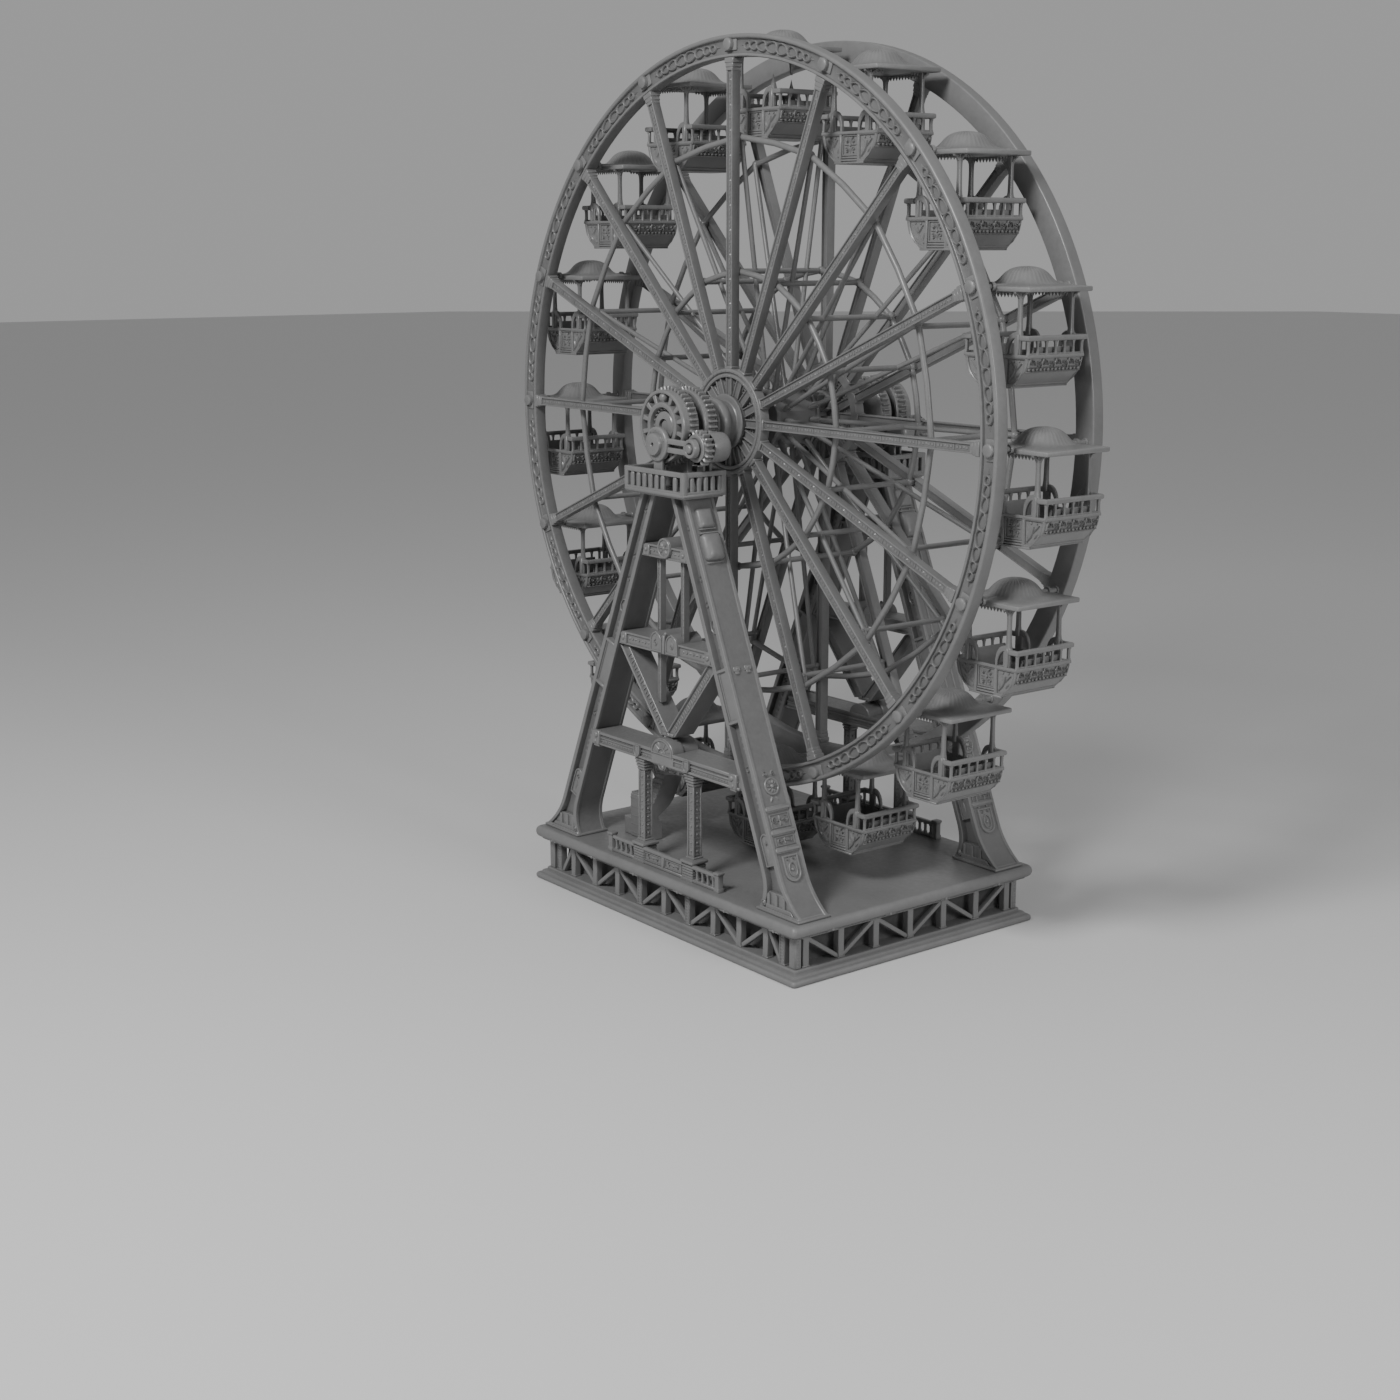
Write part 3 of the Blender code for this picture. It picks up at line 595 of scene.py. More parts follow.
def spokes(side):
    P = Piece()
    S = Piece()                      # one spoke: u across, v outward, w towards the outside
    sec = [(-0.112, 1.43), (0.112, 1.43), (0.112, 1.672), (0.104, 1.682), (0.086, 1.682), (0.078, 1.672), (0.074, 1.640),
           (-0.074, 1.640), (-0.078, 1.672), (-0.086, 1.682), (-0.104, 1.682), (-0.112, 1.672)]
    sec = [(-0.112, 1.44), (-0.104, 1.428), (-0.086, 1.428), (-0.078, 1.44), (-0.074, 1.468), (0.074, 1.468), (0.078, 1.44), (0.086, 1.428), (0.104, 1.428), (0.112, 1.44),
           (0.112, 1.672), (0.104, 1.682), (0.086, 1.682), (0.078, 1.672), (0.074, 1.640), (-0.074, 1.640), (-0.078, 1.672), (-0.086, 1.682), (-0.104, 1.682), (-0.112, 1.672)]
    rings(S, [np.array([(a, 0.66, b) for a, b in sec]), np.array([(a, 8.69, b) for a, b in sec])], False)
    v = 1.42
    i = 0
    while v < 8.28:
        q = i % 6
        if q == 0:
            cbox(S, -0.052, 0.052, v - 0.012, v + 0.012, 1.63, 1.656, 0)
        elif q == 3:
            dome(S, (0, v, 1.64), 0.034, 0.026, 6, 1)
        else:
            cbox(S, -0.026, 0.026, v - 0.030, v + 0.030, 1.63, 1.652, 0)
        v += 0.098
        i += 1
    cbox(S, -0.165, 0.165, 8.575, 8.70, 1.395, 1.705, 0.015)
    cbox(S, -0.140, 0.140, 8.475, 8.585, 1.41, 1.695, 0.015)
    cbox(S, -0.122, 0.122, 8.40, 8.48, 1.425, 1.688, 0.01)
    cbox(S, -0.135, 0.135, 1.30, 1.37, 1.42, 1.70, 0.012)
    flip = mirror(y=-side)
    for k in range(N):
        a = 2 * pi * k / N
        m = frame_of((0, 0, H), (cos(a), 0, -sin(a)), (sin(a), 0, cos(a)), (0, side, 0))
        P.join(S, m)
        # radial ladder plate between two spokes, near the hub
        am = a + pi / N
        m = frame_of((0, 0, H), (cos(am), 0, -sin(am)), (sin(am), 0, cos(am)), (0, side, 0))
        for s in (-1, 1):
            prism(P, [(s * 0.030, 0.64), (s * 0.062, 0.64), (s * 0.105, 1.11), (s * 0.070, 1.11)], 1.50, 1.60, 0.004, m)
        for j in range(5):
            r = 0.68 + 0.095 * j
            w = 0.035 + 0.040 * (r - 0.64) / 0.47
            cbox(P, -w, w, r - 0.014, r + 0.014, 1.515, 1.585, 0, m)
    A = frame_of((0, 0, H), (1, 0, 0), (0, 0, 1), (0, side, 0))
    lathe(P, [(1.10, 1.44), (1.10, 1.695), (1.107, 1.706), (1.125, 1.712), (1.165, 1.712), (1.18, 1.704), (1.188, 1.682), (1.20, 1.674), (1.212, 1.682), (1.22, 1.704),
              (1.235, 1.716), (1.29, 1.716), (1.305, 1.707), (1.312, 1.69), (1.312, 1.44), (1.30, 1.425), (1.11, 1.425)], 96, A, closed=True)
    for j in range(48):
        t = 2 * pi * (j + 0.5) / 48
        dome(P, (1.262 * cos(t), 1.262 * sin(t), 1.714), 0.020, 0.018, 6, 2, A)
        if j % 2:
            dome(P, (1.145 * cos(t), 1.145 * sin(t), 1.711), 0.014, 0.012, 6, 1, A)
    return P


build("wheel_spokes_front", spokes(-1), "wheel", "wheel", "front_spokes", mat=WHEEL)
build("wheel_spokes_rear", spokes(1), "wheel", "wheel", "rear_spokes", mat=WHEEL)

# ----------------------------------------------------------- axle and drums
P = Piece()
for s in (-1, 1):
    A = frame_of((0, 0, H), (1, 0, 0), (0, 0, 1), (0, s, 0))
    lathe(P, [(0.0, 0.74), (0.34, 0.74), (0.34, 1.30), (0.60, 1.30), (0.645, 1.33), (0.65, 1.36), (0.65, 1.74), (0.655, 1.76), (0.69, 1.765), (0.70, 1.79), (0.69, 1.815),
              (0.655, 1.82), (0.56, 1.83), (0.54, 1.85), (0.54, 2.02), (0.545, 2.05), (0.58, 2.06), (0.615, 2.085), (0.635, 2.13), (0.642, 2.18), (0.635, 2.23), (0.615, 2.275),
              (0.58, 2.30), (0.54, 2.31), (0.50, 2.33), (0.50, 2.385), (0.48, 2.40), (0.16, 2.40), (0.16, 3.62), (0.13, 3.655), (0.0, 3.66)], 64, A)
    for j in range(16):
        t = 2 * pi * j / 16
        cbox(P, 0.34, 0.60, -0.02, 0.02, 1.10, 1.31, 0.004, A @ rot("Z", t))
B = frame_of((0, 0, H), (1, 0, 0), (0, 0, 1), (0, -1, 0))
lathe(P, [(0.0, -0.75), (0.36, -0.75), (0.38, -0.74), (0.38, -0.70), (0.76, -0.70), (0.79, -0.67), (0.79, -0.60), (0.755, -0.58), (0.755, 0.58), (0.79, 0.60), (0.79, 0.67), (0.76, 0.70),
          (0.38, 0.70), (0.38, 0.74), (0.36, 0.75), (0.0, 0.75)], 10, B, phase=pi / 2)
build("wheel_axle_and_drums", P, "wheel", "wheel", "axle_and_drum", mat=WHEEL, angle=30)

# ------------------------------------------------------------------ bracing


def bracing(r, rung, stays):
    P = Piece()
    t0 = 0.075
    tube = circle(t0, 12)
    for s in (-1, 1):
        y = s * 1.34
        path = []
        for i in range(2 * N):
            a = 2 * pi * i / (2 * N)
            rr = r if i % 2 == 0 else r * 0.990
            path.append((rr * sin(a), y, H + rr * cos(a)))
        sweep(P, path, tube, up=(0, 1, 0), closed=True)
    for k in range(N):
        a = 2 * pi * k / N
        x, z = r * sin(a), H + r * cos(a)
        full = not (stays and k in (0, 1, 2, N - 2, N - 1))
        if full:
            q = np.array((rung * sin(a), 0, H + rung * cos(a)))
            rod(P, q - (0, 1.34, 0), q + (0, 1.34, 0), 0.068, 12)
        for s in (-1, 1):
            ball(P, (x, s * 1.34, z), 0.108, 12, 6)
            if full and stays:
                rod(P, (x, s * 1.34, z), (q[0], s * 1.34, q[2]), 0.070, 12)
                ball(P, (q[0], s * 1.34, q[2]), 0.088, 12, 6)
            M = frame_of((x, s * 1.34, z), (cos(a), 0, -sin(a)), (0, 1, 0), (sin(a), 0, cos(a)))
            cbox(P, -0.075, 0.075, -0.0 if s > 0 else -0.14, 0.14 if s > 0 else 0.0, -0.075, 0.075, 0.012, M)
            if stays:
                q1 = (0.74 * sin(a), s * 0.42, H + 0.74 * cos(a))
                rod(P, (x, s * 1.30, z), q1, 0.062, 10)
                d = np.array(q1) - np.array((x, s * 1.30, z))
                d /= np.linalg.norm(d)
                e = np.array(q1) - d * 0.30
                rod(P, e, np.array(q1) - d * 0.06, 0.080, 10)
    return P


build("wheel_outer_bracing", bracing(6.87, 6.60, True), "wheel", "wheel", "outer_bracing", mat=WHEEL)
build("wheel_inner_bracing", bracing(3.67, 3.67, False), "wheel", "wheel", "inner_bracing", mat=WHEEL)

# ------------------------------------------------------------------- cabins
HULL = [(0.0, -2.17), (0.48, -2.17), (0.86, -1.80), (0.94, -1.50)]


def cabin(broken=False):
    P = Piece()
    # hull: floor and sloping sides, open above
    prof = [(-0.935, -1.46), (-0.935, -1.52), (-0.90, -1.66), (-0.852, -1.795), (-0.47, -2.165), (0.47, -2.165), (0.852, -1.795), (0.90, -1.66), (0.935, -1.52), (0.935, -1.46),
            (0.88, -1.46), (0.85, -1.64), (0.80, -1.77), (0.44, -2.11), (-0.44, -2.11), (-0.80, -1.77), (-0.85, -1.64), (-0.88, -1.46)]
    XZ = frame_of((0, 0, 0), (1, 0, 0), (0, 0, 1), (0, -1, 0))
    prism(P, prof, -0.82, 0.82, 0.006, XZ)
    for s in (-1, 1):
        E = frame_of((0, s * 0.86, 0), (s, 0, 0) if s < 0 else (1, 0, 0), (0, 0, 1), (0, s, 0))
        E = frame_of((0, 0, 0), (1, 0, 0), (0, 0, 1), (0, s, 0))
        # corner panels, door frame ribs, shoulder pieces
        for t in (-1, 1):
            m = E @ mirror(x=t)
            pan = [(0.28, -2.165), (0.47, -2.165), (0.855, -1.795), (0.905, -1.66), (0.94, -1.52), (0.94, -1.47), (0.28, -1.47)]
            prism(P, pan, 0.79, 0.845, 0.004, m)
            inn = [(0.355, -2.065), (0.46, -2.065), (0.56, -2.035), (0.66, -1.965), (0.745, -1.865), (0.80, -1.755), (0.835, -1.64), (0.85, -1.54), (0.355, -1.54)]
            mid_ = [(0.335, -2.09), (0.465, -2.09), (0.575, -2.055), (0.68, -1.985), (0.765, -1.88), (0.825, -1.765), (0.860, -1.645), (0.872, -1.52), (0.335, -1.52)]
            out = [(0.28, -2.165), (0.47, -2.165), (0.599, -2.05), (0.728, -1.93), (0.855, -1.80), (0.895, -1.70), (0.920, -1.60), (0.940, -1.47), (0.28, -1.47)]
            o2 = inset(ccw(out), 0.012)
            rings(P, [np.c_[np.array(q), np.full(9, d)] for q, d in ((ccw(out), 0.84), (ccw(out), 0.872), (o2, 0.888), (ccw(mid_), 0.888), (ccw(inn), 0.868), (ccw(inn), 0.84))], True, M=m)
            # three-lobed leaf with a forked stem
            relief(P, [(0.40, -2.01), (0.50, -1.91), (0.57, -1.79), (0.60, -1.66)], [0.045, 0.065, 0.060, 0.03], 0.045, M=m @ T(0, 0, 0.842))
            relief(P, [(0.57, -1.80), (0.49, -1.70), (0.42, -1.62)], [0.060, 0.065, 0.03], 0.043, M=m @ T(0, 0, 0.842))
            relief(P, [(0.59, -1.78), (0.68, -1.70), (0.76, -1.62)], [0.060, 0.065, 0.03], 0.043, M=m @ T(0, 0, 0.842))
            leaf(P, 0.385, -1.78, radians(-75), 0.17, 0.075, 0.038, m @ T(0, 0, 0.842))
            leaf(P, 0.60, -1.93, radians(48), 0.17, 0.075, 0.038, m @ T(0, 0, 0.842))
            dome(P, (0.51, -1.58, 0.842), 0.038, 0.04, 8, 2, m)
            dome(P, (0.68, -1.58, 0.842), 0.030, 0.035, 8, 2, m)
            # rail level: shoulder arch with its opening, post foot and corner bar
            cbox(P, 0.268, 0.332, -2.14, -1.44, 0.80, 0.892, 0.018, m)
            outer = [(0.268, -1.46), (0.268, -1.32), (0.285, -1.20), (0.325, -1.10), (0.385, -1.02), (0.46, -0.975), (0.55, -0.955), (0.64, -0.965), (0.71, -1.01), (0.765, -1.045)]
            inner = [(0.765, -1.14), (0.66, -1.11), (0.56, -1.09), (0.485, -1.105), (0.425, -1.15), (0.375, -1.23), (0.342, -1.33), (0.332, -1.46)]
            prism(P, outer + inner, 0.79, 0.880, 0.016, m)
            prism(P, [(0.50, -1.47), (0.50, -1.09), (0.54, -0.99), (0.62, -0.975), (0.68, -1.01), (0.70, -1.10), (0.70, -1.47)], 0.795, 0.862, 0.008, m)
            cbox(P, 0.555, 0.675, -1.47, -1.00, 0.80, 0.900, 0.026, m)
            cbox(P, 0.885, 0.945, -1.48, -1.07, 0.80, 0.875, 0.014, m)
            prism(P, [(0.332, -1.47), (0.332, -1.43), (0.50, -1.41), (0.50, -1.47)], 0.81, 0.85, 0.004, m)
        # mid rail across the corners and the door top
        sweep(P, [(-0.955, -1.475, 0.862), (0.955, -1.475, 0.862)], rrect(0.038, 0.038, 0.022, 3), up=(0, 0, 1), M=E)
        # door: panel, border, relief, steps
        door = [(-0.27, -2.165), (0.27, -2.165), (0.27, -1.50), (-0.27, -1.50)]
        prism(P, door, 0.79, 0.83, 0.004, E)
        border(P, [(-0.262, -1.99), (0.262, -1.99), (0.262, -1.515), (-0.262, -1.515)], 0.036, 0.825, 0.862, 0.008, E)
        D = E @ T(0, -1.745, 0.828)
        for t in (-1, 1):
            scroll(P, t * 0.115, 0.095, 0.078, pi / 2, -t * 1.2, 0.046, 0.044, 10, D)
            scroll(P, t * 0.115, -0.095, 0.074, -pi / 2, t * 1.2, 0.044, 0.044, 10, D)
            leaf(P, t * 0.03, 0.0, 0 if t > 0 else pi, 0.18, 0.065, 0.040, D)
        leaf(P, 0, 0.02, pi / 2, 0.17, 0.070, 0.044, D)
        leaf(P, 0, -0.02, -pi / 2, 0.17, 0.070, 0.044, D)
        dome(P, (0, 0, 0), 0.045, 0.052, 8, 2, D)
        for z, d in ((-2.025, 0.862), (-2.085, 0.880), (-2.145, 0.898)):
            cbox(P, -0.50 if z < -2.1 else -0.285, 0.50 if z < -2.1 else 0.285, z - 0.024, z + 0.024, 0.80, d, 0.010, E)
        # small pendants below the eave between the posts
        cbox(P, -0.60, 0.60, -0.135, -0.075, 0.845, 0.885, 0.008, E)
        for i in range(11):
            x = -0.50 + 0.10 * i
            prism(P, [(x - 0.042, -0.125), (x - 0.036, -0.165), (x, -0.225), (x + 0.036, -0.165), (x + 0.042, -0.125)], 0.850, 0.880, 0.006, E)
    # long sides: mid rail, balusters, handrail, two-row relief, lower strips
    for s in (-1, 1):
        m = frame_of((0, 0, 0), (0, s, 0), (0, 0, 1), (s, 0, 0))         # u along Y, v up, w outward
        sweep(P, [(-0.88, -1.475, 0.935), (0.88, -1.475, 0.935)], rrect(0.038, 0.040, 0.022, 3), up=(0, 0, 1), M=m)
        ys = [-0.845, -0.565, -0.283, 0.0, 0.283, 0.565, 0.845]
        for y in ys:
            stack(P, y, 0.925, [(0.042, 0.032, -1.46), (0.042, 0.032, -1.41), (0.031, 0.026, -1.385), (0.029, 0.024, -1.28), (0.031, 0.026, -1.20), (0.042, 0.032, -1.17), (0.042, 0.032, -1.10)], r=0.008, n=1,
                  M=m @ frame_of((0, 0, 0), (1, 0, 0), (0, 0, 1), (0, 1, 0)))
        cbox(P, -0.84, 0.84, -1.455, -1.40, 0.905, 0.945, 0.008, m)
        # sloping relief face, from z -1.51 to -1.80
        nrm = np.array([0.29, -0.083]) / hypot(0.29, 0.083)      # (x, z) outward normal of the face
        mid = ((0.94 + 0.853) / 2, -1.655)
        vdir = np.array([0.083, 0.29]) / hypot(0.29, 0.083)
        F = frame_of((s * mid[0], 0, mid[1]), (0, s, 0), (s * vdir[0], 0, vdir[1]), (s * nrm[0], 0, nrm[1]))
        scroll_band(P, 1.62, 0.205, 8, 0.050, F @ T(0, 0.048, 0))
        for i in range(5):
            x = -0.82 + 1.64 * i / 4
            cbox(P, x - 0.015, x + 0.015, -0.055, 0.14, -0.01, 0.046, 0.005, F)
        for i in range(14):
            x = -0.775 + 1.55 * i / 13
            dome(P, (x, -0.094, 0), 0.046 if i % 2 else 0.036, 0.052, 8, 2, F)
            leaf(P, x + 0.05, -0.094, pi / 2 if i % 2 else -pi / 2, 0.035, 0.03, 0.03, F, 3)
        relief(P, [(-0.83, -0.055), (0.83, -0.055)], 0.020, 0.034, M=F)
        relief(P, [(-0.845, -0.146), (0.845, -0.146)], 0.036, 0.046, M=F)
        # lower edge strips
        cbox(P, -0.855, 0.855, -2.170, -2.140, 0.44, 0.50, 0.008, m)
        cbox(P, -0.85, 0.85, -2.10, -2.075, 0.535, 0.570, 0.006, m)
        # inner bench
        prism(P, [(0.44, -2.10), (0.46, -1.74), (0.80, -1.74), (0.80, -1.78)], -0.70, 0.70, 0.01, frame_of((0, 0, 0), (s, 0, 0), (0, 0, 1), (0, 1, 0)))
        prism(P, [(0.755, -1.75), (0.80, -1.40), (0.815, -1.30), (0.84, -1.28), (0.865, -1.30), (0.86, -1.45), (0.83, -1.75)], -0.62, 0.62, 0.012, frame_of((0, 0, 0), (s, 0, 0), (0, 0, 1), (0, 1, 0)))
        cbox(P, -0.68, 0.68, -1.745, -1.70, 0.45, 0.78, 0.018, m)
    # handrail all round, from shoulder to shoulder
    for s in (-1, 1):
        sweep(P, [(s * 0.72, -0.865, -1.085), (s * 0.945, -0.865, -1.085), (s * 0.945, 0.865, -1.085), (s * 0.72, 0.865, -1.085)], rrect(0.058, 0.060, 0.036, 3), up=(0, 0, 1))
    # posts with flared feet and heads, and scroll brackets
    for sx in (-1, 1):
        for sy in (-1, 1):
            lv = [(0.072, -1.10), (0.070, -1.00), (0.062, -0.95), (0.055, -0.88), (0.051, -0.70), (0.048, -0.45), (0.050, -0.32), (0.056, -0.24), (0.068, -0.17), (0.078, -0.12), (0.078, -0.07)]
            gone = broken and (sx, sy) in ((-1, 1), (1, -1))
            o = np.array(rrect(1, 1, 0.55, 2))
            c = np.array((sx * 0.62, sy * 0.81))
            if gone:
                low = [v for v in lv if v[1] <= -0.92] + [(0.036, -0.84), (0.022, -0.78)]
                rings(P, [np.c_[c + o * h, np.full(len(o), z)] for h, z in low], False, (True, False))
                ring = c + o * 0.022
                tip = np.r_[c + (0.006, -0.004), -0.66]
                k = len(o)
                P.add(np.vstack([np.c_[ring, np.full(k, -0.78)], tip]), [(j, (j + 1) % k, k) for j in range(k)])
                if sx < 0:
                    up_ = [(0.020, -0.56), (0.036, -0.50), (0.041, -0.40)] + [v for v in lv if v[1] >= -0.30]
                    rings(P, [np.c_[c + o * h + (0.006 if z < -0.5 else 0), np.full(k, z)] for h, z in up_], False)
            else:
                rings(P, [np.c_[c + o * h, np.full(len(o), z)] for h, z in lv], False)
            cbox(P, c[0] - 0.085, c[0] + 0.085, c[1] - 0.075, c[1] + 0.075, -0.115, -0.07, 0.012)
            for (ux, uy) in ((sx, 0), (0, sy), (-sx, 0)):
                b = frame_of((c[0], c[1], -0.075), (ux, uy, 0), (0, 0, 1), (-uy, ux, 0))
                L = 0.20 if (ux != -sx) else 0.15
                prism(P, [(0.03, 0), (L, 0), (L, -0.045), (L - 0.02, -0.075), (L - 0.055, -0.085), (0.10, -0.115), (0.075, -0.165), (0.045, -0.185), (0.03, -0.185)], -0.034, 0.034, 0.010, b)
            # short row of pendants on the long sides
            for i in range(3):
                y = sy * (0.81 - 0.16 - 0.09 * i)
                m = frame_of((0, 0, 0), (0, 1, 0), (0, 0, 1), (sx, 0, 0))
                prism(P, [(y - 0.036, -0.10), (y - 0.03, -0.135), (y, -0.175), (y + 0.03, -0.135), (y + 0.036, -0.10)], 0.605, 0.635, 0.006, m)
    for sx in (-1, 1):
        cbox(P, sx * 0.62 - 0.03, sx * 0.62 + 0.03, -0.78, 0.78, -0.115, -0.075, 0.006)
    # hanger axle and its cheeks below the roof
    Y = frame_of((0, 0, 0), (1, 0, 0), (0, 0, 1), (0, -1, 0))
    lathe(P, [(0, -1.50), (0.062, -1.50), (0.062, 1.50), (0, 1.50)], 12, Y)
    for s in (-1, 1):
        lathe(P, [(0.064, s * 1.03), (0.105, s * 1.03), (0.105, s * 1.10), (0.095, s * 1.115), (0.064, s * 1.115)], 14, Y, closed=True)
        cbox(P, -0.11, 0.11, s * 0.98 - 0.05, s * 0.98 + 0.05, -0.13, -0.07, 0.01)
    return P


def cabin_roof():
    P = Piece()
    stack(P, 0, 0, [(1.015, 0.995, -0.108), (1.033, 1.013, -0.102), (1.040, 1.020, -0.085), (1.040, 1.020, -0.020), (1.034, 1.014, -0.004), (1.018, 0.998, 0.004)], r=0.035, n=2)
    stack(P, 0, 0, [(0.93, 0.91, -0.11), (0.95, 0.93, -0.10), (0.95, 0.93, -0.07)], r=0.03, n=2)
    lv = [(1.010, 0.000, 24), (1.000, 0.006, 24), (0.86, 0.020, 20), (0.74, 0.034, 14), (0.655, 0.046, 8), (0.605, 0.066, 4.6), (0.568, 0.104, 3.4), (0.535, 0.155, 2.9),
          (0.502, 0.212, 2.6), (0.465, 0.266, 2.4), (0.420, 0.314, 2.2), (0.362, 0.354, 2.1), (0.285, 0.388, 2.0), (0.18, 0.413, 2.0), (0.07, 0.425, 2.0)]
    n = 96
    vs = []
    for r, z, p in lv:
        a = 2 * pi * np.arange(n) / n + pi / n
        k = (np.abs(np.cos(a)) ** p + np.abs(np.sin(a)) ** p) ** (-1 / p)
        ridge = np.where(np.arange(n) % 3 == 0, -1.0, 0.4) * 0.0080 * min(1, max(0, (z - 0.03) / 0.05)) * min(1, (r / 0.3))
        vs.append(np.stack([(r * k + ridge * 0.6) * np.cos(a), (r * k * 0.985 + ridge * 0.6) * np.sin(a), np.full(n, z) + ridge], 1))
    rings(P, vs, False, (True, True))
    return P


def two_materials(name, A, B, ma, mb, angle=38):
    me = build(name, A, None, None, mat=ma, mesh_only=True, angle=angle)
    m2 = build(name + "_b", B, None, None, mat=mb, mesh_only=True, angle=50)
    bm = bmesh.new()
    bm.from_mesh(me)
    k = len(bm.faces)
    bm.from_mesh(m2)
    bm.faces.ensure_lookup_table()
    for f in bm.faces[k:]:
        f.material_index = 1
    bm.to_mesh(me)
    bm.free()
    me.materials.append(mb)
    bpy.data.meshes.remove(m2)
    return me


roof = cabin_roof()
whole = two_materials("cabin_body", cabin(), roof, CABIN, ROOF)
hurt = two_materials("cabin_body_with_broken_posts", cabin(True), roof, CABIN, ROOF)
for k in range(N):
    a = 2 * pi * k / N
    nm = "cabin_%02d" % (k + 1)
    show(nm + "_shell", hurt if k == 0 else whole, nm, "cabin", nm, place=Matrix.Translation((R * sin(a), 0, H + R * cos(a))))

# --------------------------------------------------------------------- base
P = Piece()
stack(P, 0, 0, [(5.33, 3.90, 1.141), (5.37, 3.94, 1.150), (5.375, 3.945, 1.162), (5.362, 3.932, 1.170), (5.362, 3.932, 1.182), (5.40, 3.97, 1.190)] +
      nosing(5.50, 4.07, 1.192, 1.498, 0.105, 5), r=0.10, n=4)
for s in (-1, 1):
    for x in np.arange(-4.70, 4.71, 1.88):
        m = frame_of((x, s * 3.975, 1.215), (1, 0, 0), (0, 0, 1), (0, s, 0))
        dome(P, (0, 0.01, 0.055), 0.050, 0.030, 10, 2, m)
        for t in (-1, 1):
            leaf(P, t * 0.03, 0.0, 0 if t > 0 else pi, 0.16, 0.055, 0.03, m @ T(0, 0, 0.05))
            scroll(P, t * 0.17, 0.0, 0.03, 0, t * 1.0, 0.02, 0.02, 7, m @ T(0, 0, 0.045))
    for y in np.arange(-2.82, 2.83, 1.88):
        m = frame_of((s * 5.405, y, 1.215), (0, 1, 0), (0, 0, 1), (s, 0, 0))
        dome(P, (0, 0.01, 0.055), 0.050, 0.030, 10, 2, m)
        for t in (-1, 1):
            leaf(P, t * 0.03, 0.0, 0 if t > 0 else pi, 0.16, 0.055, 0.03, m @ T(0, 0, 0.05))
build("deck_slab", P, "tower", "deck", "base_deck", mat=DECK)

P = Piece()
stack(P, 0, 0, nosing(5.50, 4.07, 0.0, 0.165, 0.055, 4) + [(5.40, 3.97, 0.17), (5.38, 3.95, 0.19), (5.375, 3.945, 0.225), (5.36, 3.93, 0.235), (5.29, 3.86, 0.24), (5.275, 3.845, 0.25),
                                                          (5.27, 3.84, 0.315), (5.255, 3.825, 0.3295)], r=0.07, n=3)
build("plinth_slab", P, "tower", "deck", "base_plinth", mat=DECK)

rng = np.random.default_rng(7)
P = Piece()
hx, hy, z0, z1 = 5.50 - 0.64, 4.07 - 0.64, 0.331, 1.139
nx, ny, nz = 96, 68, 8
loop = [(-hx + 2 * hx * i / nx, -hy) for i in range(nx)] + [(hx, -hy + 2 * hy * i / ny) for i in range(ny)] + \
       [(hx - 2 * hx * i / nx, hy) for i in range(nx)] + [(-hx, hy - 2 * hy * i / ny) for i in range(ny)]
loop = np.array(loop)
vs = []
for j in range(nz + 1):
    amp = 0.0 if j in (0, nz) else 1.0
    k = rng.uniform(-1, 1, len(loop)) * 0.5 + np.repeat(rng.uniform(-1, 1, (len(loop) + 3) // 4), 4)[:len(loop)] * 0.5
    q = loop * (1 - (0.0045 + 0.0045 * k)[:, None] * amp)
    z = z0 + (z1 - z0) * j / nz + (rng.uniform(-0.02, 0.02, len(loop)) if amp else 0)
    vs.append(np.c_[q, np.broadcast_to(z, (len(loop),))])
rings(P, vs, False)
build("rough_core", P, "tower", "masonry", "base_core", mat=STONE, angle=25)


def ladder(P, x0, x1, z0, z1, d, M, pitch=0.075):
    """Raised rungs on a post face."""
    k = int((z1 - z0) / pitch)
    for i in range(k):
        z = z0 + (z1 - z0) * (i + 0.5) / k
        cbox(P, x0, x1, z - pitch * 0.28, z + pitch * 0.28, d, d + 0.014, 0.004, M)


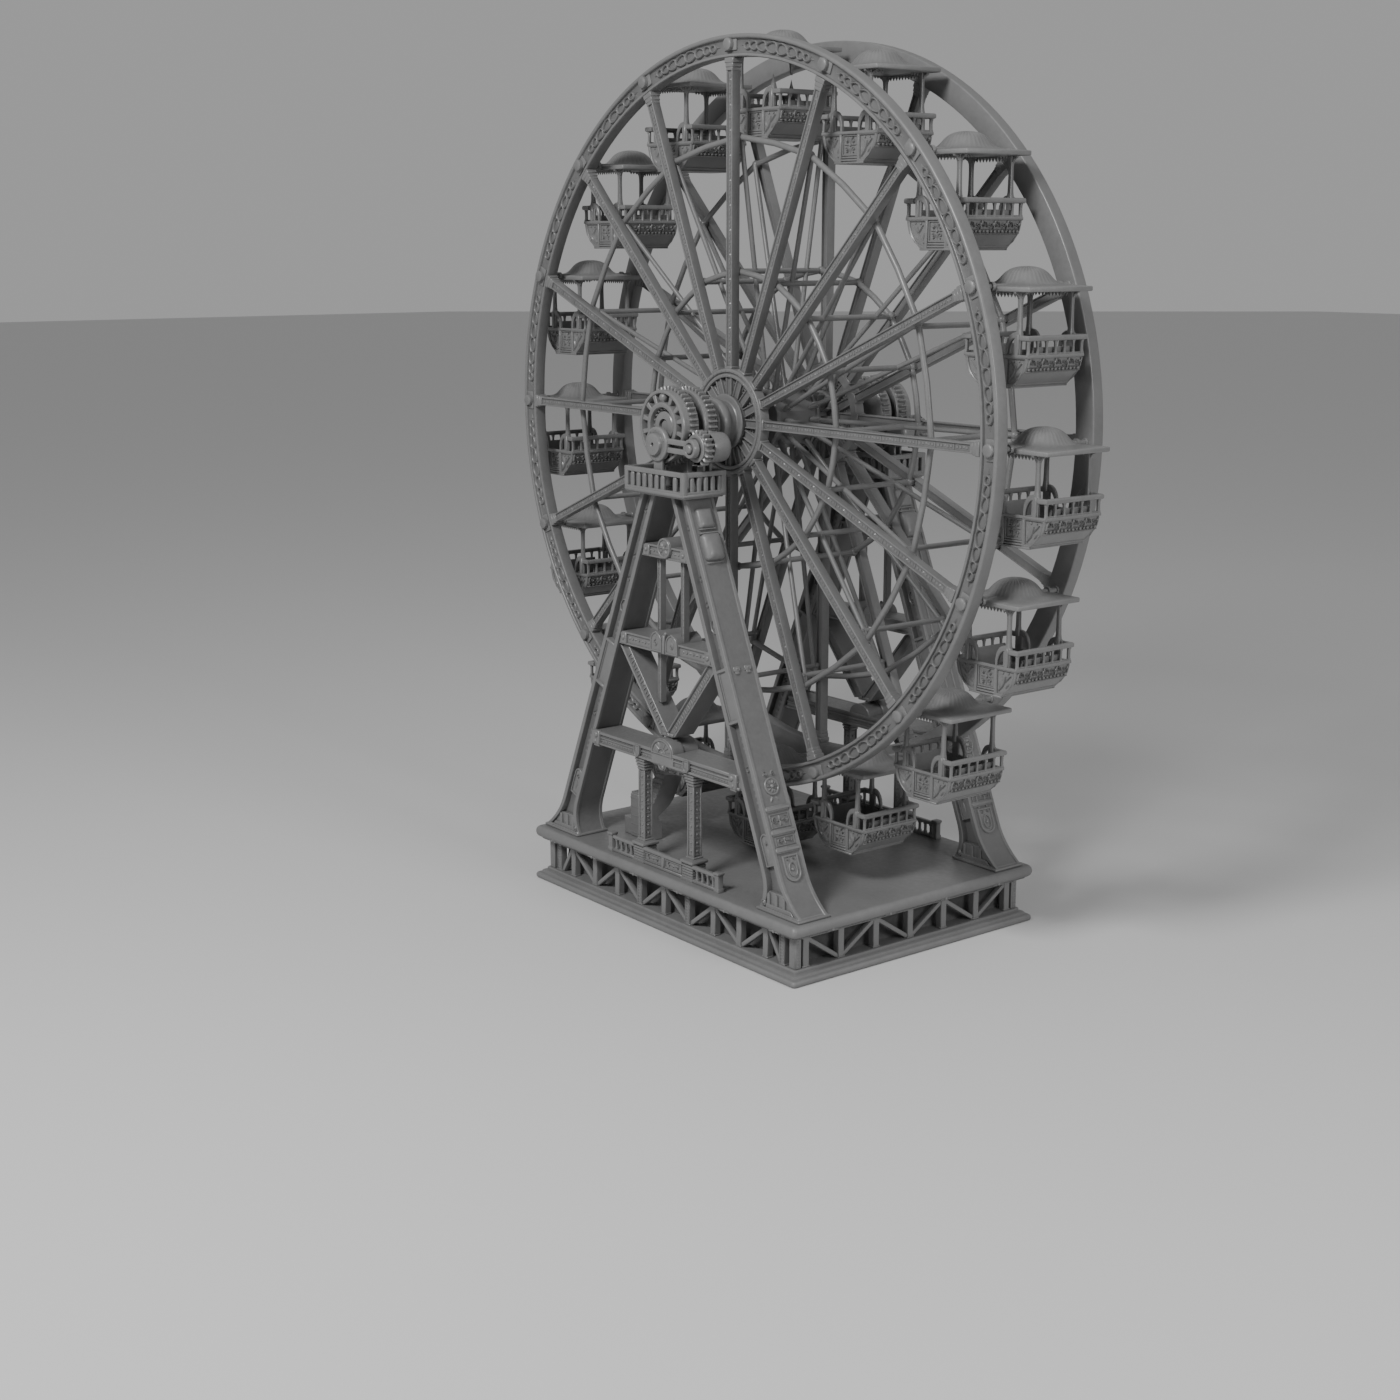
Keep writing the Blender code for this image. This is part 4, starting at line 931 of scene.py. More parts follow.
def skirt(half, pointiness_wear_and_shade, posts, wide, M):
    """Truss of one side, u along the side, v up, w outward."""
    P = Piece()
    w1 = pointiness_wear_and_shade - 0.30
    w0 = w1 - 0.20
    zb, zt = 0.331, 1.139
    cbox(P, -half, half, zt - 0.055, zt, w0, w1 + 0.025, 0.012, M)
    cbox(P, -half, half, zt - 0.085, zt - 0.05, w0 + 0.01, w1 + 0.008, 0.008, M)
    for x in posts:
        big = any(abs(abs(x) - q) < 0.01 for q in wide)
        cbox(P, x - 0.095, x + 0.095, zb, zt - 0.02, w0 + 0.01, w1 - 0.004, 0.016, M)
        cbox(P, x - 0.115, x + 0.115, zb, zb + 0.035, w0 + 0.01, w1 + 0.012, 0.010, M)
        if big:
            for t in (-1, 1):
                cbox(P, x + t * 0.08 - 0.016, x + t * 0.08 + 0.016, zb + 0.04, zt - 0.09, w1 - 0.01, w1 + 0.012, 0.005, M)
            ladder(P, x - 0.055, x + 0.055, zb + 0.06, zt - 0.11, w1 - 0.004, M)
    xs = sorted(posts)
    up = False
    for a, b in zip(xs, xs[1:]):
        if b - a < 0.7:
            a2, b2 = a + 0.10, b - 0.10
            if b2 - a2 > 0.2:
                d = 1 if (a + b) < 0 else -1
                p, q = ((a2, zb + 0.02), (b2, zt - 0.10)) if d > 0 else ((a2, zt - 0.10), (b2, zb + 0.02))
            else:
                continue
        else:
            p, q = ((a + 0.08, zb + 0.04), (b - 0.08, zt - 0.12)) if up else ((a + 0.08, zt - 0.12), (b - 0.08, zb + 0.04))
            up = not up
        p, q = np.array(p), np.array(q)
        d = (q - p) / np.linalg.norm(q - p)
        n = np.array([-d[1], d[0]])
        m = np.asarray(M) @ frame_of((p[0], p[1], (w0 + w1) / 2), (d[0], d[1], 0), (n[0], n[1], 0), (0, 0, 1))
        L = np.linalg.norm(q - p)
        prism(P, [(y, z) for y, z in rrect(0.058, 0.075, 0.03, 2)], -0.03, L + 0.03, 0.006, m @ frame_of((0, 0, 0), (0, 1, 0), (0, 0, 1), (1, 0, 0)))
    return P


lx = [0.0] + [s * x for x in (1.02, 2.04, 3.06, 4.08, 4.72) for s in (-1, 1)]
sx_ = [0.0] + [s * x for x in (1.15, 2.30) for s in (-1, 1)]
for nm, s in (("front", -1), ("rear", 1)):
    M = frame_of((0, 0, 0), (-s, 0, 0), (0, 0, 1), (0, s, 0))
    P = skirt(5.20, 4.07, lx, (4.72, 1.02), M)
    for t in (-1, 1):          # corner post of two beaded leaves
        cbox(P, t * 5.20 - (0.23 if t > 0 else 0), t * 5.20 + (0.0 if t > 0 else 0.23), 0.331, 1.10, 3.575, 3.766, 0.012, M)
        for i in range(9):
            dome(P, (t * 5.115, 0.40 + 0.078 * i, 3.765), 0.020, 0.016, 6, 2, M)
        cbox(P, t * 5.115 - 0.055, t * 5.115 + 0.055, 0.345, 1.08, 3.75, 3.772, 0.006, M)
        K = frame_of((0, 0, 0), (0, 1, 0), (0, 0, 1), (t * -s, 0, 0))
        cbox(P, s * 3.69 - 0.055, s * 3.69 + 0.055, 0.345, 1.08, 5.185, 5.208, 0.006, K)
        for i in range(9):
            dome(P, (s * 3.69, 0.40 + 0.078 * i, 5.206), 0.020, 0.016, 6, 2, K)
    build(nm + "_truss_detail", P, "tower", "structure", nm + "_base_truss", mat=STEEL)
for nm, s in (("right", 1), ("left", -1)):
    M = frame_of((0, 0, 0), (0, s, 0), (0, 0, 1), (s, 0, 0))
    P = skirt(3.56, 5.50, sx_ + [3.42, -3.42], (), M)
    build(nm + "_truss_detail", P, "tower", "structure", nm + "_base_truss", mat=STEEL)


# -------------------------------------------------------------------- pylons
def xo(z):
    return 5.61 - 0.423 * z


def xi(z):
    return 4.88 - 0.410 * z


def leg(rear):
    P = Piece()
    f, b, c = -3.74, -2.86, 0.012
    vs = []
    zs = [1.5712, 1.60, 1.64, 1.70, 1.78, 1.88, 2.0, 2.12, 2.25, 2.38, 2.50, 3.5, 5, 7, 9, 10.9, 11.10]
    for z in zs:
        k = max(0.0, (2.5 - z) / 0.93) ** 2.3
        o, i = xo(z) + 0.385 * k, xi(z) - 0.42 * k
        sec = [(o - c, f), (o, f + c), (o, f + 0.085), (o - 0.028, f + 0.10), (o - 0.028, b - 0.10), (o, b - 0.085), (o, b - c), (o - c, b),
               (o - 0.125, b), (o - 0.137, b - 0.012), (o - 0.145, b - 0.17), (i + 0.145, b - 0.17), (i + 0.137, b - 0.012), (i + 0.125, b), (i + c, b), (i, b - c),
               (i, b - 0.085), (i + 0.024, b - 0.10), (i + 0.024, f + 0.10), (i, f + 0.085), (i, f + c), (i + c, f),
               (i + 0.125, f), (i + 0.137, f + 0.012), (i + 0.145, f + 0.17), (o - 0.145, f + 0.17), (o - 0.137, f + 0.012), (o - 0.125, f)]
        vs.append(np.array([(x, y, z) for x, y in sec]))
    rings(P, vs, False)
    # foot plate, socket block with three ribs, eye bolts
    stack(P, 4.57, -3.31, nosing(0.79, 0.51, 1.5015, 1.575, 0.03, 2), r=0.03, n=2)
    stack(P, 4.57, -3.31, [(0.72, 0.455, 1.57), (0.70, 0.445, 1.605)], r=0.02, n=1)
    for y0, s in ((f, -1), (b, 1)):
        Y = frame_of((0, y0, 0), (1, 0, 0), (0, 0, 1), (0, s, 0))
        o = [(4.02, 1.58), (5.10, 1.58), (4.93, 1.80), (4.80, 1.97), (4.76, 2.0), (4.10, 2.0), (4.04, 1.96)]
        prism(P, o, -0.17, -0.06, 0.012, Y)
        prism(P, [(4.04, 1.60), (5.06, 1.60), (4.97, 1.70), (4.06, 1.70)], -0.08, 0.0, 0.012, Y)
        for x in (4.14, 4.42, 4.70):
            prism(P, [(x - 0.055, 1.68), (x + 0.055, 1.68), (x + 0.048, 1.93), (x + 0.03, 1.975), (x - 0.03, 1.975), (x - 0.048, 1.93)], -0.08, -0.005, 0.014, Y)
        dome(P, (3.99, 1.70, -0.01), 0.055, 0.045, 12, 3, Y)
        lathe(P, [(0.055, -0.02), (0.085, -0.02), (0.085, 0.012), (0.075, 0.022), (0.055, 0.022)], 14, Y @ T(3.99, 1.70, 0), closed=True)
        # channel face: v along the leg
        n = sqrt(1 + 0.4165 ** 2)

        def at(z, d=-0.17):
            return frame_of((5.245 - 0.4165 * z, y0 + s * d, z), (1 / n, 0, 0.4165 / n), (-0.4165 / n, 0, 1 / n), (0, s, 0))
        for z in (10.5, 9.3, 8.7, 4.9):
            m = at(z)
            for t in (-1, 1):
                scroll(P, 0.055 * t, 0.10 * t, 0.085, pi / 2, t * 1.3, 0.035, 0.035, 10, m)
            leaf(P, 0, 0.22, pi / 2, 0.22, 0.07, 0.03, m)
            leaf(P, 0, -0.22, -pi / 2, 0.22, 0.07, 0.03, m)
        m = at(8.1)
        relief(P, [(0.11 * cos(t), 0.17 * sin(t)) for t in np.linspace(0, 2 * pi, 17)[:-1]], 0.045, 0.05, True, True, m)
        dome(P, (0, 0, 0), 0.06, 0.05, 10, 2, m)
        m = at(6.5)
        pan = [(-0.175, -0.62), (0.175, -0.62), (0.165, 0.62), (-0.165, 0.62)]
        prism(P, pan, -0.01, 0.11, 0.015, m)
        border(P, pan, 0.04, 0.10, 0.135, 0.010, m)
        cbox(P, -0.20, 0.20, 0.60, 0.68, -0.01, 0.165, 0.015, m)
        cbox(P, -0.21, 0.21, -0.68, -0.60, -0.01, 0.165, 0.015, m)
        m = at(3.0)
        pan = [(-0.17, -0.42), (0.17, -0.42), (0.17, 0.22)] + [(0.17 * cos(t), 0.22 + 0.17 * sin(t)) for t in np.linspace(0, pi, 9)[1:-1]] + [(-0.17, 0.22)]
        prism(P, pan, -0.01, 0.07, 0.012, m)
        border(P, pan, 0.045, 0.06, 0.105, 0.012, m)
        scroll(P, 0, 0.14, 0.07, pi / 2, 1.3, 0.03, 0.03, 10, m @ T(0, 0, 0.07))
        leaf(P, 0, 0.02, -pi / 2, 0.30, 0.09, 0.03, m @ T(0, 0, 0.07))
        for z in np.arange(3.9, 10.8, 0.155):
            if abs(z - 6.5) > 0.8 and min(abs(z - q) for q in (10.5, 9.3, 8.7, 4.9, 8.1)) > 0.36:
                cbox(P, -0.05, 0.05, -0.035, 0.035, -0.01, 0.016, 0.0, at(z))
    # broad outer face: u along Y, v up the leg, w outward
    n = sqrt(1 + 0.423 ** 2)

    def on(z, d=-0.028):
        return frame_of((xo(z) + d, -3.30, z), (0, 1, 0), (-0.423 / n, 0, 1 / n), (1 / n, 0, 0.423 / n))
    if rear:
        for z0, z1 in ((2.9, 10.95),):
            for t in (-0.14, 0.14):
                prism(P, [(t - 0.025, 0), (t + 0.025, 0), (t + 0.025, (z1 - z0) * n), (t - 0.025, (z1 - z0) * n)], -0.02, 0.026, 0.008, on(z0))
    # two stacked pillow blocks under the platform
    m = on(10.62)
    stack(P, 0, 0, [(0.235, 0.245, -0.02), (0.235, 0.245, 0.03), (0.225, 0.235, 0.075), (0.195, 0.205, 0.11), (0.14, 0.15, 0.13)], r=0.06, n=3, M=m)
    cbox(P, -0.25, 0.25, -0.285, -0.245, -0.01, 0.06, 0.012, m)
    m = on(9.95)
    lv = [(0.275, 0.33, -0.02), (0.28, 0.335, 0.06), (0.272, 0.325, 0.11), (0.245, 0.295, 0.155), (0.19, 0.235, 0.19), (0.10, 0.14, 0.21)]
    stack(P, 0, 0, lv, r=0.10, n=4, M=m)
    cbox(P, -0.27, 0.27, 0.335, 0.375, -0.01, 0.09, 0.012, m)
    cbox(P, -0.25, 0.25, -0.40, -0.36, -0.01, 0.05, 0.012, m)
    # small stepped brackets
    m = on(7.15)
    for t in (-1, 1):
        cbox(P, t * 0.17 - 0.10, t * 0.17 + 0.10, -0.06, 0.06, -0.01, 0.045, 0.012, m)
        cbox(P, t * 0.17 - 0.06, t * 0.17 + 0.06, -0.13, -0.05, -0.01, 0.035, 0.010, m)
        dome(P, (t * 0.17, 0.0, 0.043), 0.035, 0.022, 8, 2, m)
    # rosette
    m = on(4.45)
    lathe(P, [(0, -0.01), (0.22, -0.01), (0.22, 0.03), (0.205, 0.045), (0.185, 0.045), (0.17, 0.03), (0, 0.03)], 24, m)
    dome(P, (0, 0, 0.028), 0.06, 0.06, 12, 3, m)
    for j in range(10):
        t = 2 * pi * j / 10
        leaf(P, 0.055 * cos(t), 0.055 * sin(t), t, 0.11, 0.055, 0.045, m @ T(0, 0, 0.028))
    for t in (-1, 1):
        scroll(P, t * 0.13, 0.30, 0.075, pi / 2, -t * 1.3, 0.035, 0.045, 10, m)
        leaf(P, t * 0.05, -0.24, -pi / 2 + t * 0.5, 0.16, 0.06, 0.04, m)
    # cap mouldings with framed scrollwork between them
    for z in (3.95, 3.42, 3.02):
        m = on(z)
        cbox(P, -0.37, 0.37, -0.045, 0.045, -0.02, 0.062, 0.018, m)
        cbox(P, -0.34, 0.34, -0.075, 0.075, -0.02, 0.035, 0.012, m)
    for z, hgt in ((3.68, 0.17), (3.22, 0.11)):
        m = on(z)
        border(P, [(-0.29, -hgt), (0.29, -hgt), (0.29, hgt), (-0.29, hgt)], 0.022, -0.01, 0.024, 0.006, m)
        for t in (-1, 1):
            scroll(P, t * 0.15, 0, hgt * 0.62, pi / 2, t * 1.35, 0.032, 0.040, 12, m)
            leaf(P, t * 0.02, 0, 0 if t > 0 else pi, 0.12, 0.06, 0.04, m)
        leaf(P, 0, 0, pi / 2, hgt * 0.8, 0.06, 0.04, m)
        leaf(P, 0, 0, -pi / 2, hgt * 0.8, 0.06, 0.04, m)
    # hanging cartouche
    m = on(2.62)
    cart = [(-0.24, 0.30)] + [(-0.24, -0.12)] + [(0.24 * cos(t), -0.12 + 0.24 * sin(t)) for t in np.linspace(pi, 2 * pi, 13)[1:-1]] + [(0.24, -0.12), (0.24, 0.30)]
    prism(P, cart, -0.01, 0.03, 0.012, m)
    border(P, cart, 0.05, 0.02, 0.062, 0.014, m)
    relief(P, [(0.115 * cos(t), -0.06 + 0.17 * sin(t)) for t in np.linspace(0, 2 * pi, 19)[:-1]], 0.045, 0.05, True, True, m @ T(0, 0, 0.028))
    for t in (-1, 1):
        scroll(P, t * 0.10, 0.20, 0.055, pi / 2, -t * 1.2, 0.028, 0.035, 9, m @ T(0, 0, 0.028))
    dome(P, (0, -0.06, 0.028), 0.05, 0.045, 10, 3, m)
    return P


LF, LR = leg(False), leg(True)
for nm, sx, sy in (("front_right", 1, 1), ("front_left", -1, 1), ("rear_right", 1, -1), ("rear_left", -1, -1)):
    P = Piece()
    P.join(LF if sy > 0 else LR, mirror(x=sx, y=sy))
    build(nm + "_leg_detail", P, "tower", "structure", nm + "_leg", mat=STEEL)


# --------------------------------------------------------------------- beams
def half(z):
    return xi(z) - 0.012


FRONT = frame_of((0, 0, 0), (1, 0, 0), (0, 0, 1), (0, -1, 0))       # u = x, v = z, w outward


def strip(P, x0, x1, v, h, d, M, pitch=0.13):
    """Fine running ornament: lozenges between beads."""
    k = max(2, int(abs(x1 - x0) / pitch))
    for i in range(k):
        x = x0 + (x1 - x0) * (i + 0.5) / k
        if i % 2:
            dome(P, (x, v, d), h * 0.28, h * 0.24, 7, 2, M)
        else:
            relief(P, [(x - pitch * 0.44, v), (x, v), (x + pitch * 0.44, v)], [h * 0.12, h * 0.62, h * 0.12], [0.004, h * 0.28, 0.004], M=M @ T(0, 0, d))


def beam_body(P, z0, z1, w0, w1, lip=0.055, rec=0.05, M=FRONT):
    a, b = half(z0), half(z1)
    o = [(-a, z0), (a, z0), (b, z1), (-b, z1)]
    prism(P, o, w0 + rec, w1 - rec, 0.01, M)
    border(P, o, lip, w1 - rec - 0.01, w1, 0.014, M)
    border(P, o, lip, w0, w0 + rec + 0.01, 0.014, M)
    return o


def end_blocks(P, z0, z1, w, M=FRONT, r=0.075):
    for t in (-1, 1):
        x = t * (half((z0 + z1) / 2) - 0.14)
        cbox(P, x - 0.12, x + 0.12, z0 - 0.0, z1 + 0.0, w - 0.08, w + 0.035, 0.018, M)
        dome(P, (x, (z0 + z1) / 2 + 0.02, w + 0.03), r, 0.05, 12, 3, M)


def upper_beam():
    P = Piece()
    beam_body(P, 9.52, 9.84, 2.90, 3.68)
    strip(P, -half(9.7) + 0.18, -0.30, 9.68, 0.13, 3.63, FRONT)
    strip(P, 0.30, half(9.7) - 0.18, 9.68, 0.13, 3.63, FRONT)
    ring = [(0.26 * cos(t), 9.80 + 0.26 * sin(t)) for t in np.linspace(0, 2 * pi, 25)[:-1]]
    prism(P, ring, 2.92, 3.70, 0.014, FRONT)
    m = FRONT @ T(0, 9.80, 3.70)
    lathe(P, [(0.20, -0.02), (0.255, -0.02), (0.255, 0.018), (0.243, 0.03), (0.215, 0.03), (0.20, 0.018)], 28, m, closed=True)
    dome(P, (0, 0, 0), 0.055, 0.045, 10, 3, m)
    for j in range(8):
        t = 2 * pi * j / 8
        leaf(P, 0.05 * cos(t), 0.05 * sin(t), t, 0.14, 0.07, 0.04, m)
    end_blocks(P, 9.54, 9.82, 3.66, r=0.06)
    return P


def hanger(P, x, z0, z1):
    M = FRONT
    cbox(P, x - 0.065, x + 0.065, z0, z1, 3.32, 3.475, 0.012, M)
    for t in (-1, 1):
        cbox(P, x + t * 0.053 - 0.013, x + t * 0.053 + 0.013, z0, z1, 3.46, 3.50, 0.005, M)
    k = int((z1 - z0) / 0.16)
    for i in range(k):
        z = z0 + (z1 - z0) * (i + 0.5) / k
        if i % 3 == 1:
            cbox(P, x - 0.036, x + 0.036, z - 0.03, z + 0.03, 3.465, 3.492, 0.006, M)
        else:
            dome(P, (x, z, 3.473), 0.026, 0.022, 7, 2, M)


def mid_beam(front):
    P = Piece()
    beam_body(P, 7.12, 7.46, 2.90, 3.70)
    m = FRONT
    for t in (-1, 1):
        strip(P, t * 0.66, t * (half(7.3) - 0.28), 7.30, 0.15, 3.65, m)
        arch = [(t * 0.32 + 0.24 * cos(a), 7.40 + 0.26 * sin(a)) for a in np.linspace(0, pi, 13)]
        arch = arch[:6] + [(t * 0.32, 7.40 + 0.285)] + arch[7:]
        prism(P, arch + [(t * 0.32 - 0.24, 7.16), (t * 0.32 + 0.24, 7.16)], 2.92, 3.72, 0.014, m)
        border(P, arch + [(t * 0.32 - 0.24, 7.16), (t * 0.32 + 0.24, 7.16)], 0.042, 3.71, 3.745, 0.010, m)
        scroll(P, t * 0.32, 7.37, 0.10, pi / 2, t * 1.4, 0.042, 0.035, 12, m @ T(0, 0, 3.715))
        leaf(P, t * 0.32, 7.50, pi / 2, 0.12, 0.06, 0.03, m @ T(0, 0, 3.715))
        hanger(P, t * 0.48, 7.44, 9.515)
    if front:
        hanger(P, -0.48, 5.79, 7.13)
    cbox(P, -0.05, 0.05, 7.14, 7.62, 3.62, 3.75, 0.015, m)
    dome(P, (0, 7.64, 3.66), 0.055, 0.05, 10, 3, m)
    end_blocks(P, 7.14, 7.44, 3.68)
    return P


def lower_beam():
    P = Piece()
    m = FRONT
    a, b = half(4.28), half(4.64)
    o = [(-a, 4.28), (a, 4.28), (b, 4.64), (-b, 4.64)]
    prism(P, o, 2.94, 3.74, 0.02, m)
    for v, h in ((4.60, 0.045), (4.475, 0.022), (4.31, 0.034)):
        w = half(v) - 0.01
        cbox(P, -w, w, v - h, v + h, 3.70, 3.798 if h > 0.03 else 3.775, 0.016, m)
        cbox(P, -w, w, v - h, v + h, 2.90, 2.97, 0.016, m)
    strip(P, -half(4.4) + 0.22, -0.52, 4.395, 0.10, 3.738, m, 0.11)
    strip(P, 0.52, half(4.4) - 0.22, 4.395, 0.10, 3.738, m, 0.11)
    strip(P, -half(4.5) + 0.22, -0.52, 4.53, 0.06, 3.738, m, 0.09)
    strip(P, 0.52, half(4.5) - 0.22, 4.53, 0.06, 3.738, m, 0.09)
    # fan: half disc through the beam's depth, ribs and a border on the face
    r = 0.45
    fan = [(r * cos(t), 4.62 + 0.36 * sin(t)) for t in np.linspace(0, pi, 19)]
    prism(P, fan + [(-r, 4.30), (r, 4.30)], 3.42, 3.79, 0.014, m)
    fan2 = [(0.40 * cos(t), 4.62 + 0.31 * sin(t)) for t in np.linspace(0, pi, 15)]
    prism(P, fan2 + [(-0.40, 4.60), (0.40, 4.60)], 2.92, 3.44, 0.02, m)
    m2 = m @ T(0, 4.60, 3.788)
    relief(P, [(0.405 * cos(t), 0.33 * sin(t)) for t in np.linspace(-0.15, pi + 0.15, 21)], 0.065, 0.045, False, True, m2)
    relief(P, [(0.14 * cos(t), 0.115 * sin(t)) for t in np.linspace(0, pi, 13)], 0.035, 0.035, False, True, m2)
    for j in range(7):
        t = pi * (j + 0.5) / 7
        leaf(P, 0.15 * cos(t), 0.125 * sin(t), atan2(0.30 * sin(t), 0.36 * cos(t)), 0.24 if 1 < j < 5 else 0.26, 0.06, 0.032, m2)
    dome(P, (0, 0.0, 0), 0.06, 0.045, 10, 3, m2)
    relief(P, [(-0.42, -0.03), (0.42, -0.03)], 0.05, 0.04, False, True, m2)
    # pendant below the middle and shields over the columns
    pend = [(0.17 * cos(t), 4.30 + 0.16 * sin(t)) for t in np.linspace(pi, 2 * pi, 13)]
    prism(P, pend, 3.56, 3.80, 0.012, m)
    relief(P, [(0.125 * cos(t), 4.30 + 0.115 * sin(t)) for t in np.linspace(pi, 2 * pi, 11)], 0.04, 0.035, False, True, m @ T(0, 0, 3.797))
    for j in range(5):
        t = pi + pi * (j + 0.5) / 5
        leaf(P, 0.02 * cos(t), 4.30 + 0.02 * sin(t), t, 0.10, 0.035, 0.02, m @ T(0, 0, 3.797))
    for t in (-1, 1):
        relief(P, [(t * 0.17, 4.285), (t * 0.34, 4.255), (t * 0.52, 4.285)], [0.03, 0.05, 0.02], 0.03, M=m @ T(0, 0, 3.76))
        sh = [(t * 1.03 - 0.12, 4.62), (t * 1.03 + 0.12, 4.62), (t * 1.03 + 0.12, 4.42), (t * 1.03 + 0.06, 4.33), (t * 1.03, 4.30), (t * 1.03 - 0.06, 4.33), (t * 1.03 - 0.12, 4.42)]
        prism(P, sh, 3.76, 3.825, 0.014, m)
        border(P, sh, 0.032, 3.815, 3.845, 0.008, m)
        leaf(P, t * 1.03, 4.37, pi / 2, 0.19, 0.08, 0.03, m @ T(0, 0, 3.822))
        x = t * (half(4.5) - 0.16)
        cbox(P, x - 0.15, x + 0.15, 4.28, 4.66, 3.70, 3.83, 0.022, m)
        dome(P, (x - t * 0.03, 4.55, 3.825), 0.085, 0.06, 14, 3, m)
        dome(P, (x + t * 0.02, 4.37, 3.825), 0.055, 0.035, 12, 3, m)
        cbox(P, x - 0.12, x + 0.12, 4.22, 4.30, 3.55, 3.80, 0.02, m)
    return P


def v_brace():
    P = Piece()
    for t in (-1, 1):
        p, q = np.array([t * 0.10, 5.02]), np.array([t * 1.78, 7.05])
        d = (q - p) / np.linalg.norm(q - p)
        n = np.array([d[1], -d[0]])
        L = np.linalg.norm(q - p)
        m = frame_of((p[0], -3.33, p[1]), (n[0], 0, n[1]), (d[0], 0, d[1]), (0, -1, 0))
        lo, hi = 0.04, L + 0.02
        sec = [(-0.155, -0.30), (-0.11, -0.30), (-0.10, -0.25), (0.10, -0.25), (0.11, -0.30), (0.155, -0.30),
               (0.155, 0.292), (0.148, 0.30), (0.118, 0.30), (0.11, 0.29), (0.10, 0.245), (-0.10, 0.245), (-0.11, 0.29), (-0.118, 0.30), (-0.148, 0.30), (-0.155, 0.292)]
        # ends follow the beams above and the crossing below
        rings(P, [np.array([(a, lo + (a * n[1] / d[1] * -1), b) for a, b in sec]), np.array([(a, hi + (a * n[1] / d[1] * -1), b) for a, b in sec])], False, M=m)
        k = 22
        for i in range(k):
            v = 0.22 + (L - 0.42) * (i + 0.5) / k
            if i % 2:
                cbox(P, -0.075, 0.075, v - 0.016, v + 0.016, 0.235, 0.272, 0.006, m)
            else:
                s = 1 if i % 4 == 0 else -1
                prism(P, [(s * 0.07, v - 0.035), (s * 0.07, v + 0.035), (-s * 0.06, v)], 0.235, 0.265, 0.006, m)
    cbox(P, -0.22, 0.22, 5.004, 5.10, 3.06, 3.62, 0.02, FRONT)
    return P


for nm, s in (("front", 1), ("rear", -1)):
    for what, fn in (("upper_beam", upper_beam), ("mid_beam", lambda: mid_beam(s > 0)), ("lower_beam", lower_beam), ("v_brace", v_brace)):
        P = Piece()
        P.join(fn(), mirror(y=s))
        build(nm + "_" + what + "_detail", P, "tower", "structure", nm + "_" + what, mat=STEEL)


